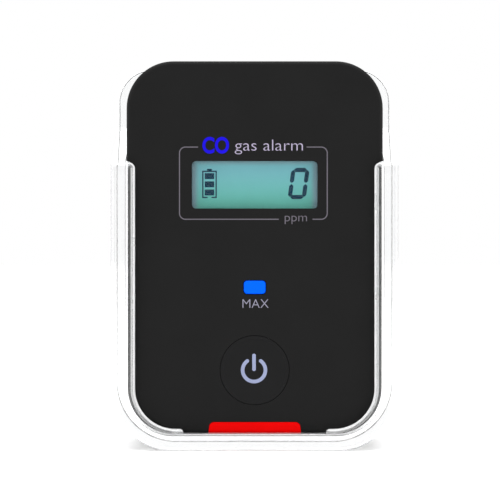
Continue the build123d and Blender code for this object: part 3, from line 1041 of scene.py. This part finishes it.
    def front_shell(self) -> None:
        """Builds the front shell."""
        shell = rounded_block(
            "front_casing", self.low, self.high, self.corner, self.corner, self.steps
        )
        self.hollow(shell, 1, self.split - self.face - self.skin)
        bevel(shell, in_plane(Along.Y, self.face), self.front_edge, 6)
        cut(shell, *self.openings())
        clean(shell, flat=True)
        bevel(shell, self.opening_rims, self.opening_edge, 3)
        for x, z in self.boss_places():
            weld(shell, self.turned(self.front_stem, x, z), self.turned(self.front_neck, x, z))
            cut(shell, self.turned(self.front_pilot, x, z))
        clean(shell)
        smooth(shell)
        dress(shell, MOULDED)
        place(shell, Body.MONITOR, "black_plastic", ["front_shell"])

    def opening_rims(self, a: Vector, b: Vector) -> bool:
        """Picks the front edges of the openings for the window and the keys."""
        inside = abs(a.x) < 0.7 * self.high[0] and a.z > self.power_z - 9 * MM
        return in_plane(Along.Y, self.face)(a, b) and inside

    def rear_shell(self) -> None:
        """Builds the rear shell with its wells and battery opening."""
        shell = rounded_block(
            "rear_casing", self.rear_low, self.rear_high, self.corner, self.corner, self.steps
        )
        inside = self.back - self.rear_skin
        self.hollow(shell, -1, inside - self.rear_low[1])
        bevel(shell, in_plane(Along.Y, self.back), self.rear_edge, 6)
        near, far = (self.depth(distance) for distance in self.ledge_depths_mm)
        ledge = block("tool_ledge", (-self.ledge_half, near, self.ledge_zs[0]),
                      (self.ledge_half, far, self.ledge_zs[1]))
        weld(shell, ledge, self.turned(self.cover_post, 0, self.cover_screw_z))
        cut(shell, *self.cover_space(0.15 * MM, self.back + PAST))
        cut(shell, self.turned(self.cover_pilot, 0, self.cover_screw_z))
        for x, z in self.boss_places():
            weld(shell, self.turned(self.rear_boss, x, z))
            cut(shell, self.turned(self.rear_well, x, z), self.turned(self.rear_hole, x, z))
        clean(shell, flat=True)
        bevel(shell, in_plane(Along.Y, self.back), self.opening_edge, 3)
        clean(shell)
        smooth(shell)
        dress(shell, MOULDED)
        place(shell, Body.MONITOR, "black_plastic", ["rear_shell"])

    def cover_space(self, grow: float, end: float) -> List[bpy.types.Object]:
        """The battery cover's plate and tab as two blocks.

        Args:
            grow: Room added all round.
            end: The Y at which they end.

        Returns:
            The two blocks.
        """
        start = self.depth(self.cover_start_mm)
        half = self.cover_half + grow
        plate = rounded_block(
            "cover_plate", (-half, start - grow * 7, self.cover_zs[0] - grow),
            (half, end, self.cover_zs[1] + grow), 1.5 * MM, 1.5 * MM, 6,
        )
        half = self.tab_half + grow
        tab = rounded_block(
            "cover_tab", (-half, start - grow, self.tab_zs[0]), (half, end, self.tab_zs[1] + grow),
            0, 1.5 * MM, 6,
        )
        return [plate, tab]

    def battery_cover(self) -> None:
        """Builds the battery cover with its grip grooves and screw seat."""
        cover, tab = self.cover_space(0.0, self.back)
        cover.name = "battery_door"
        weld(cover, tab)
        for feature in (self.cover_seat, self.cover_hole):
            cut(cover, self.turned(feature, 0, self.cover_screw_z))
        deep = self.groove_depth
        for step in range(self.grooves):
            z = (self.groove_first_mm + self.groove_pitch_mm * step) * MM
            groove = block("tool_groove", (-self.groove_half, self.back - deep, z - deep),
                           (self.groove_half, self.back + PAST, z + deep))
            bevel(groove, lambda a, b: runs(Along.Y, a, b), 0.96 * deep, 6)
            cut(cover, groove)
        clean(cover, flat=True)
        bevel(cover, in_plane(Along.Y, self.back), self.opening_edge, 3)
        clean(cover)
        smooth(cover)
        dress(cover, MOULDED)
        place(cover, Body.MONITOR, "black_plastic", ["battery_cover"])

    def screw(self, name: str, x: float, z: float, size: ScrewSize) -> bpy.types.Object:
        """One cross-head screw, driven from the back.

        Args:
            name: Name of the piece.
            x: Its place across.
            z: Its height.
            size: Its sizes.

        Returns:
            The screw.
        """
        head = rod(name, (x, self.depth(size.seat), z), size.head * MM, size.radius * MM, Along.Y, 48)
        top = self.depth(size.seat + size.head)
        bevel(head, in_plane(Along.Y, top), 0.45 * MM, 5)
        tip = self.depth(size.tip)
        shank = rod("tool_shank", (x, tip, z), (size.seat - size.tip + 0.1) * MM, MM, Along.Y, 24)
        bevel(shank, in_plane(Along.Y, tip), 0.3 * MM, 2)
        weld(head, shank)
        for wide, tall in (self.cross, self.cross[::-1]):
            arm = block("tool_cross", (x - wide, top - self.cross_depth, z - tall),
                        (x + wide, top + PAST, z + tall))
            cut(head, arm)
        clean(head)
        smooth(head)
        dress(head, STEEL)
        return head

    def screws(self) -> None:
        """Builds the four case screws as one piece, and the cover's screw."""
        group = [self.screw("case_screw", x, z, self.case_screw) for x, z in self.boss_places()]
        place(join("case_screws", group), Body.MONITOR, "steel", ["shell_screws"])
        cover = self.screw("cover_screw_head", 0, self.cover_screw_z, self.cover_screw)
        place(cover, Body.MONITOR, "steel", ["cover_screw"])


# ---- Alarm lens ------------------------------------------------------------
@dataclass
class AlarmLens:
    """The red lens bar at the bottom edge of the face."""

    low_half: float = 11.3 * MM
    high_half: float = 10.5 * MM
    height: float = 3.0 * MM
    depth: float = 8.0 * MM
    corner: float = 1.0 * MM
    ledge_half: float = 13.2 * MM
    ledge_front: float = 2.1 * MM
    ledge_low: float = 2.05 * MM

    @classmethod
    def prism(cls, name: str, grow: float) -> bpy.types.Object:
        """The lens's trapezoid outline as a bar, grown by a clearance.

        Args:
            name: Name of the new object.
            grow: Room added all round.

        Returns:
            The bar.
        """
        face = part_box("front_shell")[0][1]
        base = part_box("front_shell")[0][2]
        low, high = cls.low_half + grow, cls.high_half + grow
        top = base + cls.height + grow
        foot = base - 3.5 * MM
        bar = block(name, (-low, face - 2 * PAST, foot), (low, face + cls.depth + grow, top))
        pick(bar, Part.FACE, lambda side: side.normal.z > 0.99)
        bpy.ops.transform.resize(value=(high / low, 1, 1), center_override=(0, 0, top))
        bpy.ops.object.mode_set(mode="OBJECT")
        bevel(bar, lambda a, b: runs(Along.Y, a, b) and a.z > base, cls.corner + grow, 8)
        return bar

    def build(self) -> None:
        """Builds the lens: the casing's own outside kept within the bar, with a ledge."""
        low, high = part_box("front_shell")
        lens = rounded_block("alarm_light_lens", low, high, Casing.corner, Casing.corner, Casing.steps)
        bevel(lens, in_plane(Along.Y, low[1]), Casing.front_edge, 6)
        combine(lens, self.prism("tool_prism", 0.0), "INTERSECT")
        ledge = block(
            "tool_ledge", (-self.ledge_half, low[1] + self.ledge_front, low[2] + self.ledge_low),
            (self.ledge_half, low[1] + self.depth, low[2] + self.height),
        )
        weld(lens, ledge)
        clean(lens, flat=True)
        smooth(lens)
        dress(lens, RED_LENS)
        place(lens, Body.MONITOR, "red_lens", ["alarm_lens"])


# ---- Display ---------------------------------------------------------------
@dataclass
class Display:
    """The window, the display glass and what it shows."""

    ink: float = 0.02 * MM
    digit_low: Spot = (7.7 * MM, 58.65 * MM)
    digit_size: Spot = (4.3 * MM, 7.35 * MM)
    digit_slant: float = radians(7.5)
    stroke: float = 1.0 * MM
    symbol_x: Spot = (-12.35 * MM, -8.9 * MM)
    symbol_z: Spot = (58.9 * MM, 65.35 * MM)
    segment_gap: float = 0.16 * MM
    outline: float = 0.32 * MM
    foot_gap_half: float = 0.45 * MM
    tip_size: Spot = (1.2 * MM, 0.42 * MM)
    field_size: Spot = (2.24 * MM, 1.4 * MM)
    field_low_mm: float = 0.62
    field_pitch_mm: float = 1.92
    fields: int = 3
    flange: float = 0.8 * MM
    flange_corner: float = 1.5 * MM
    plug_half: Spot = (14.65 * MM, 5.5 * MM)
    plug_corner: float = 0.95 * MM
    glass_front: float = 0.9 * MM
    contact_step: float = 1.3 * MM

    def __post_init__(self) -> None:
        """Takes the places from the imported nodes."""
        self.glass_low, self.glass_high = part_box("lcd_glass")
        self.window_low, self.window_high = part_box("display_window")
        self.middle = (self.window_low.z + self.window_high.z) / 2

    def build(self) -> None:
        """Builds the display."""
        self.window()
        self.glass()
        self.digit()
        self.battery_symbol()

    def window(self) -> None:
        """Builds the clear window with its glued flange."""
        flange_front = self.window_high.y - self.flange
        flange = rounded_block(
            "clear_window", (self.window_low.x, flange_front, self.window_low.z),
            self.window_high, self.flange_corner, self.flange_corner, 6,
        )
        half_w, half_h = self.plug_half
        plug = rounded_block(
            "tool_plug", (-half_w, self.window_low.y, self.middle - half_h),
            (half_w, flange_front + 0.1 * MM, self.middle + half_h),
            self.plug_corner, self.plug_corner, 8,
        )
        bevel(plug, in_plane(Along.Y, self.window_low.y), 0.15 * MM, 3)
        weld(flange, plug)
        clean(flange)
        smooth(flange)
        dress(flange, WINDOW)
        place(flange, Body.MONITOR, "window_plastic", ["display_window"])

    def glass(self) -> None:
        """Builds the bonded glass cell with its contact step and rounded edges."""
        step = self.glass_low.y + self.glass_front
        rear = block("display_glass", (self.glass_low.x, step, self.glass_low.z), self.glass_high)
        front = block(
            "tool_front", (self.glass_low.x, self.glass_low.y, self.glass_low.z + self.contact_step),
            (self.glass_high.x, step + 0.1 * MM, self.glass_high.z - self.contact_step),
        )
        weld(rear, front)
        clean(rear, flat=True)
        bevel(rear, in_plane(Along.Y, self.glass_low.y), 0.1 * MM, 2)
        smooth(rear)
        # The faint glow (glow=0.08) is painted light: it makes the reflective display shine a little by
        # itself, though it is no lamp.
        finish = LcdFinish(
            "display_teal", srgb(107, 185, 189), 0.4, specular=0.05, relief=0.0, colour_change=0.0,
            glow=0.08, centre_z=self.middle,
        )
        dress(rear, finish)
        place(rear, Body.MONITOR, "lcd", ["lcd_glass"])

    def mark(self, name: str, low: Spot, high: Spot, chamfer: float) -> bpy.types.Object:
        """One thin printed field on the glass with cut corners."""
        near = self.glass_low.y - self.ink
        field = block(name, (low[0], near, low[1]), (high[0], near + self.ink * 0.9, high[1]))
        if chamfer > 0:
            bevel(field, lambda a, b: runs(Along.Y, a, b), chamfer, 1)
        return field

    def digit(self) -> None:
        """Builds the digit nought from six slanted segments."""
        x0, z0 = self.digit_low
        width, height = self.digit_size
        stroke, gap = self.stroke, self.segment_gap
        across, up, chamfer = 0.66 * stroke, 0.55 * stroke, 0.42 * stroke
        half = height / 2
        bars = []
        for low_z in (z0, z0 + height - stroke):
            ends = (x0 + across, low_z), (x0 + width - across, low_z + stroke)
            bars.append(self.mark("bar", *ends, chamfer))
        for low_x in (x0, x0 + width - stroke):
            for start in (z0 + up, z0 + half + gap):
                ends = (low_x, start), (low_x + stroke, start + half - up - gap)
                bars.append(self.mark("bar", *ends, chamfer))
        digit = join("display_digit", bars)
        lean = Matrix(((1, 0, tan(self.digit_slant), 0), (0, 1, 0, 0), (0, 0, 1, 0), (0, 0, 0, 1)))
        shift = Matrix.Translation((0, 0, z0))
        digit.data.transform(shift @ lean @ shift.inverted())
        dress(digit, LCD_INK)
        place(digit, Body.MONITOR)

    def battery_symbol(self) -> None:
        """Builds the battery symbol: outline with a gap below, tip and three fields."""
        x0, x1 = self.symbol_x
        z0, z1 = self.symbol_z
        line = self.outline
        middle = (x0 + x1) / 2
        tip_half, tip_height = self.tip_size[0] / 2, self.tip_size[1]
        marks = [
            self.mark("side", (x0, z0), (x0 + line, z1), 0),
            self.mark("side", (x1 - line, z0), (x1, z1), 0),
            self.mark("top", (x0, z1 - line), (x1, z1), 0),
            self.mark("foot", (x0, z0), (middle - self.foot_gap_half, z0 + line), 0),
            self.mark("foot", (middle + self.foot_gap_half, z0), (x1, z0 + line), 0),
            self.mark("tip", (middle - tip_half, z1), (middle + tip_half, z1 + tip_height), 0.1 * MM),
        ]
        half = self.field_size[0] / 2
        for step in range(self.fields):
            low_z = z0 + (self.field_low_mm + self.field_pitch_mm * step) * MM
            ends = (middle - half, low_z), (middle + half, low_z + self.field_size[1])
            marks.append(self.mark("field", *ends, 0))
        symbol = join("display_battery_symbol", marks)
        dress(symbol, LCD_INK)
        place(symbol, Body.MONITOR)


# ---- Print on the face -----------------------------------------------------
@dataclass
class FacePrint:
    """The thin grey frame round the display and the plain words on the face."""

    raised: float = 0.03 * MM
    frame_low: Spot = (-17.68 * MM, 53.75 * MM)
    frame_high: Spot = (17.05 * MM, 70.85 * MM)
    frame_corner: float = 1.5 * MM
    line: float = 0.25 * MM
    top_gap: Spot = (-13.2 * MM, 12.1 * MM)
    low_gap: Spot = (5.6 * MM, 13.5 * MM)
    clearance: float = 0.002 * MM

    def __post_init__(self) -> None:
        """Takes the face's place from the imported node."""
        self.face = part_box("front_shell")[0][1]

    def build(self) -> None:
        """Builds the frame line and the words."""
        self.frame_line()
        self.word("print_gas_name", "CO", (-12.2, 69.2), (6.2, 3.9), PRINT_BLUE, 0.03)
        self.word("print_title", "gas alarm", (-4.65, 69.05), (15.9, 3.4), PRINT_GREY, -0.012)
        self.word("print_unit", "ppm", (7.0, 52.75), (5.2, 1.95), PRINT_DIM, -0.008)
        self.word("print_max", "MAX", (-2.85, 33.2), (6.1, 2.0), PRINT_MID, -0.012)

    def frame_line(self) -> None:
        """Builds the rounded frame line with its two gaps."""
        near = self.face - self.raised
        far = self.face - self.clearance
        (x0, z0), (x1, z1) = self.frame_low, self.frame_high
        corner = self.frame_corner
        line = rounded_block("print_frame", (x0, near, z0), (x1, far, z1), corner, corner, 8)
        corner -= self.line
        inner = rounded_block(
            "tool_inner", (x0 + self.line, near - PAST, z0 + self.line),
            (x1 - self.line, far + PAST, z1 - self.line), corner, corner, 8,
        )
        cut(line, inner)
        for (start, end), z in ((self.top_gap, z1), (self.low_gap, z0)):
            cut(line, block("tool_gap", (start, near - PAST, z - PAST), (end, far + PAST, z + PAST)))
        clean(line, flat=True)
        dress(line, PRINT_DIM)
        place(line, Body.MONITOR)

    def word(self, name: str, text: str, corner_mm: Spot, size_mm: Spot, finish: Finish,
             weight: float) -> None:
        """Prints a plain word in the built-in type.

        Args:
            name: Name of the piece.
            text: The word.
            corner_mm: Its lower left corner on the face, in millimetres.
            size_mm: Its width and height in millimetres.
            finish: Its finish.
            weight: How much heavier than the plain type, in type units.
        """
        bpy.ops.object.select_all(action="DESELECT")
        bpy.ops.object.text_add()
        obj = bpy.context.object
        obj.name = name
        obj.data.body = text
        obj.data.offset = weight
        obj.data.extrude = 0.5
        only(obj)
        bpy.ops.object.convert(target="MESH")
        obj = bpy.context.object
        points = [vertex.co for vertex in obj.data.vertices]
        low = Vector([min(p[i] for p in points) for i in range(3)])
        high = Vector([max(p[i] for p in points) for i in range(3)])
        span = high - low
        grow = Vector((size_mm[0] * MM / span.x, size_mm[1] * MM / span.y, self.raised / span.z))
        obj.data.transform(Matrix.Translation(-low))
        obj.data.transform(Matrix.Diagonal((grow.x, grow.y, grow.z, 1)))
        obj.data.transform(Matrix.Rotation(pi / 2, 4, "X"))
        corner = (corner_mm[0] * MM, self.face - self.clearance, corner_mm[1] * MM)
        obj.data.transform(Matrix.Translation(corner))
        clean(obj)
        dress(obj, finish)
        place(obj, Body.MONITOR)


# ---- Keys ------------------------------------------------------------------
@dataclass
class Keys:
    """The round power key with its symbol and the small blue key.

    The four depths of a key are behind its top: the cap's back, the flange's front and back, and the
    stem's front.
    """

    cap_radius: float = 8.11 * MM
    dish_radius: float = 7.35 * MM
    dish: float = 0.07 * MM
    flange_radius: float = 9.2 * MM
    symbol_x: float = -0.16 * MM
    ring_radius: float = 2.66 * MM
    stroke: float = 0.84 * MM
    gap_half: float = radians(36)
    bar: Spot = (-0.2 * MM, 3.85 * MM)
    print_height: float = 0.03 * MM
    small_size: Spot = (5.1 * MM, 3.1 * MM)
    small_corner: float = 0.8 * MM
    power_depths: Tuple[float, float, float, float] = (2.1 * MM, 2.0 * MM, 2.75 * MM, 2.6 * MM)
    max_depths: Tuple[float, float, float, float] = (2.3 * MM, 2.25 * MM, 3.0 * MM, 2.9 * MM)
    power_stem: float = 1.6 * MM
    max_stem: float = 1.0 * MM

    def __post_init__(self) -> None:
        """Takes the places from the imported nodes."""
        self.power_low, self.power_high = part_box("power_button")
        self.max_low, self.max_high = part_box("max_button")
        self.power_z = (self.power_low.z + self.power_high.z) / 2
        self.max_z = (self.max_low.z + self.max_high.z) / 2

    def build(self) -> None:
        """Builds both keys and the symbol."""
        self.power_key()
        self.power_symbol()
        self.max_key()

    def power_key(self) -> None:
        """Builds the power key: cap with a rounded rim, flange and stem."""
        top, z = self.power_low.y, self.power_z
        cap_back, flange_front, flange_back, stem_front = (top + depth for depth in self.power_depths)
        cap = rod("power_key_cap", (0, top, z), cap_back - top, self.cap_radius, Along.Y, 128)
        bevel(cap, in_plane(Along.Y, top), 0.2 * MM, 4)
        cut(cap, rod("tool_dish", (0, top - PAST, z), PAST + self.dish, self.dish_radius, Along.Y, 128))
        bevel(cap, self.dish_rim, 0.06 * MM, 3)
        thick, long = flange_back - flange_front, self.power_high.y - stem_front
        flange = rod("tool_flange", (0, flange_front, z), thick, self.flange_radius, Along.Y, 96)
        stem = rod("tool_stem", (0, stem_front, z), long, self.power_stem, Along.Y, 32)
        weld(cap, flange, stem)
        clean(cap)
        smooth(cap)
        dress(cap, KEY_TOP)
        place(cap, Body.POWER_KEY, "key_black", ["power_button"])

    def dish_rim(self, a: Vector, b: Vector) -> bool:
        """Picks the edge between the power key's dish and its rim."""
        away = (a.xz - Vector((0, self.power_z))).length
        return in_plane(Along.Y, self.power_low.y)(a, b) and away < self.dish_radius + 5 * SAME_PLACE

    def power_symbol(self) -> None:
        """Builds the power symbol: an open ring by spinning an oblong, and a bar."""
        near = self.power_low.y + self.dish - self.print_height
        half = self.stroke / 2
        bpy.ops.object.select_all(action="DESELECT")
        bpy.ops.mesh.primitive_plane_add(size=1)
        ring = bpy.context.object
        ring.name = "power_symbol"
        ring.data.transform(Matrix.Diagonal((self.print_height, self.stroke, 1, 1)))
        along = Vector((sin(self.gap_half), 0, cos(self.gap_half))).normalized()
        turned = Matrix((
            (0, along.x, along.z, 0), (1, 0, 0, 0), (0, along.z, -along.x, 0), (0, 0, 0, 1),
        ))
        ring.data.transform(turned)
        centre = Vector((self.symbol_x, near + self.print_height / 2, self.power_z))
        ring.data.transform(Matrix.Translation(centre + along * self.ring_radius))
        only(ring)
        bpy.ops.object.mode_set(mode="EDIT")
        bpy.ops.mesh.select_all(action="SELECT")
        bpy.ops.mesh.spin(
            steps=56, angle=2 * pi - 2 * self.gap_half, center=centre, axis=(0, -1, 0)
        )
        bpy.ops.object.mode_set(mode="OBJECT")
        clean(ring)
        ends = []
        for side in (-1, 1):
            x = self.symbol_x + side * self.ring_radius * sin(self.gap_half)
            z = self.power_z + self.ring_radius * cos(self.gap_half)
            ends.append(rod("tool_end", (x, near, z), self.print_height, half, Along.Y, 32))
        bar = block(
            "tool_bar", (self.symbol_x - half, near, self.power_z + self.bar[0]),
            (self.symbol_x + half, near + self.print_height, self.power_z + self.bar[1]),
        )
        bevel(bar, lambda a, b: runs(Along.Y, a, b), half * 0.98, 8)
        weld(ring, *ends)
        join("power_symbol", [ring, bar])
        clean(ring)
        dress(ring, PRINT_SYMBOL)
        place(ring, Body.POWER_KEY)

    def max_key(self) -> None:
        """Builds the blue key: rounded cap, flange and stem."""
        top, z = self.max_low.y, self.max_z
        cap_back, flange_front, flange_back, stem_front = (top + depth for depth in self.max_depths)
        half_w, half_h = self.small_size[0] / 2, self.small_size[1] / 2
        cap = rounded_block(
            "max_key_cap", (-half_w, top, z - half_h), (half_w, cap_back, z + half_h),
            self.small_corner, self.small_corner, 8,
        )
        bevel(cap, in_plane(Along.Y, top), 0.4 * MM, 5)
        flange = rounded_block(
            "tool_flange", (self.max_low.x, flange_front, self.max_low.z),
            (self.max_high.x, flange_back, self.max_high.z), 1.2 * MM, 1.2 * MM, 6,
        )
        stem = rod("tool_stem", (0, stem_front, z), self.max_high.y - stem_front, self.max_stem, Along.Y, 24)
        weld(cap, flange, stem)
        clean(cap)
        smooth(cap)
        dress(cap, BLUE_KEY)
        place(cap, Body.MAX_KEY, "key_blue", ["max_button"])


# ---- Inner pieces ----------------------------------------------------------
@dataclass
class Inside:
    """The pieces inside the casing, which keep their CAD shapes."""

    def build(self) -> None:
        """Dresses every inner node."""
        finishes = {
            "lcd_backlight": MILKY, "lcd_contacts": ELASTOMER, "lcd_frame": CRADLE,
            "power_switch": SWITCH, "max_switch": SWITCH, "alarm_leds": LAMP,
            "circuit_board": BOARD, "microcontroller": CHIP, "board_components": CERAMIC,
            "gas_sensor": SENSOR_CAN, "sensor_filter": MEMBRANE, "sensor_pins": GOLD,
            "sounder": CHIP, "vent_membranes": MEMBRANE, "battery_holder": CRADLE,
            "battery_bridge": NICKEL, "battery_contacts": NICKEL, "battery_springs": NICKEL,
            "battery_cell_left": self.sleeve("battery_cell_left", True),
            "battery_cell_right": self.sleeve("battery_cell_right", False),
        }
        for node, finish in finishes.items():
            dress(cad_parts[node], finish)
            log.info("%s dressed as %s", node, finish.name)

    @staticmethod
    def sleeve(node: str, plus_up: bool) -> SleeveFinish:
        """A cell's sleeve with its band at the plus end."""
        low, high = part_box(node)
        near, far = 1.2 * MM, 13 * MM
        ends = (high.z - far, high.z - near) if plus_up else (low.z + near, low.z + far)
        return SleeveFinish(
            f"{node}_sleeve", (0.03, 0.035, 0.04), 0.28, metallic=0.4, relief=0.001 * MM,
            band_low=ends[0], band_high=ends[1],
        )


# ---- Studio ----------------------------------------------------------------
@dataclass(frozen=True)
class Softbox:
    """A square area light: its place and side in metres, its tilt about Y and its power in watts."""

    name: str
    at: Tuple[float, float, float]
    tilt: float
    size: float
    power: float

    def add(self) -> None:
        """Adds the light to the studio."""
        bpy.ops.object.light_add(type="AREA", location=self.at, rotation=(0, self.tilt, 0))
        lamp = bpy.context.object
        lamp.name = self.name
        lamp.data.size = self.size
        lamp.data.energy = self.power


@dataclass
class Studio:
    """A plain pale floor, soft light and the camera."""

    camera_from_front: float = 0.345
    camera_x: float = -1.1 * MM
    camera_z: float = 46.7 * MM
    view_width: float = 116.7 * MM
    sensor: float = 36.0
    surround: float = 1.0
    floor_glow: float = 0.27
    floor_below: float = 0.02 * MM
    softboxes: Tuple[Softbox, ...] = (
        Softbox("softbox_top", (0.0, -0.10, 0.75), 0.0, 0.9, 5.0),
        Softbox("softbox_left", (-0.75, -0.25, 0.30), radians(-75), 0.6, 1.6),
        Softbox("softbox_right", (0.75, -0.25, 0.30), radians(75), 0.6, 1.6),
    )

    def build(self) -> None:
        """Sets up the whole studio."""
        self.floor()
        self.world()
        for softbox in self.softboxes:
            softbox.add()
        self.camera()
        view = bpy.context.scene.view_settings
        view.view_transform = "Standard"
        view.look = "None"

    def floor(self) -> None:
        """Adds the pale floor that the object stands on."""
        bpy.ops.object.select_all(action="DESELECT")
        bpy.ops.mesh.primitive_plane_add(size=8.0, location=(0, 0, -self.floor_below))
        floor = bpy.context.object
        floor.name = "studio_floor"
        seat(floor)
        material = bpy.data.materials.new("floor_white")
        material.use_nodes = True
        shader = material.node_tree.nodes["Principled BSDF"]
        set_sockets(shader, {
            "Base Color": (0.92, 0.92, 0.92, 1), "Roughness": 0.9, "Specular IOR Level": 0.1,
            "Emission Color": (1, 1, 1, 1), "Emission Strength": self.floor_glow,
        })
        floor.data.materials.append(material)

    def world(self) -> None:
        """Sets an even white surround."""
        world = bpy.data.worlds.new("studio_world")
        bpy.context.scene.world = world
        world.use_nodes = True
        background = world.node_tree.nodes["Background"]
        set_sockets(background, {"Color": (1, 1, 1, 1), "Strength": self.surround})

    def camera(self) -> None:
        """Places the camera square to the face."""
        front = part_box("holder")[0][1]
        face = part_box("front_shell")[0][1]
        y = front - self.camera_from_front
        bpy.ops.object.camera_add(location=(self.camera_x, y, self.camera_z), rotation=(pi / 2, 0, 0))
        camera = bpy.context.object
        camera.name = "studio_camera"
        camera.data.sensor_width = self.sensor
        camera.data.lens = self.sensor * (face - y) / self.view_width
        bpy.context.scene.camera = camera


def main() -> None:
    """Builds every sub-assembly in order."""
    logging.basicConfig(level=logging.INFO, format="%(name)s: %(message)s")
    bpy.ops.object.select_all(action="DESELECT")
    for part in (ClearHolder(), BeltClip(), Casing(), AlarmLens(), Display(), FacePrint(), Keys(), Inside()):
        log.info("building %s", type(part).__name__)
        part.build()
    Studio().build()


if __name__ == "__main__":
    main()
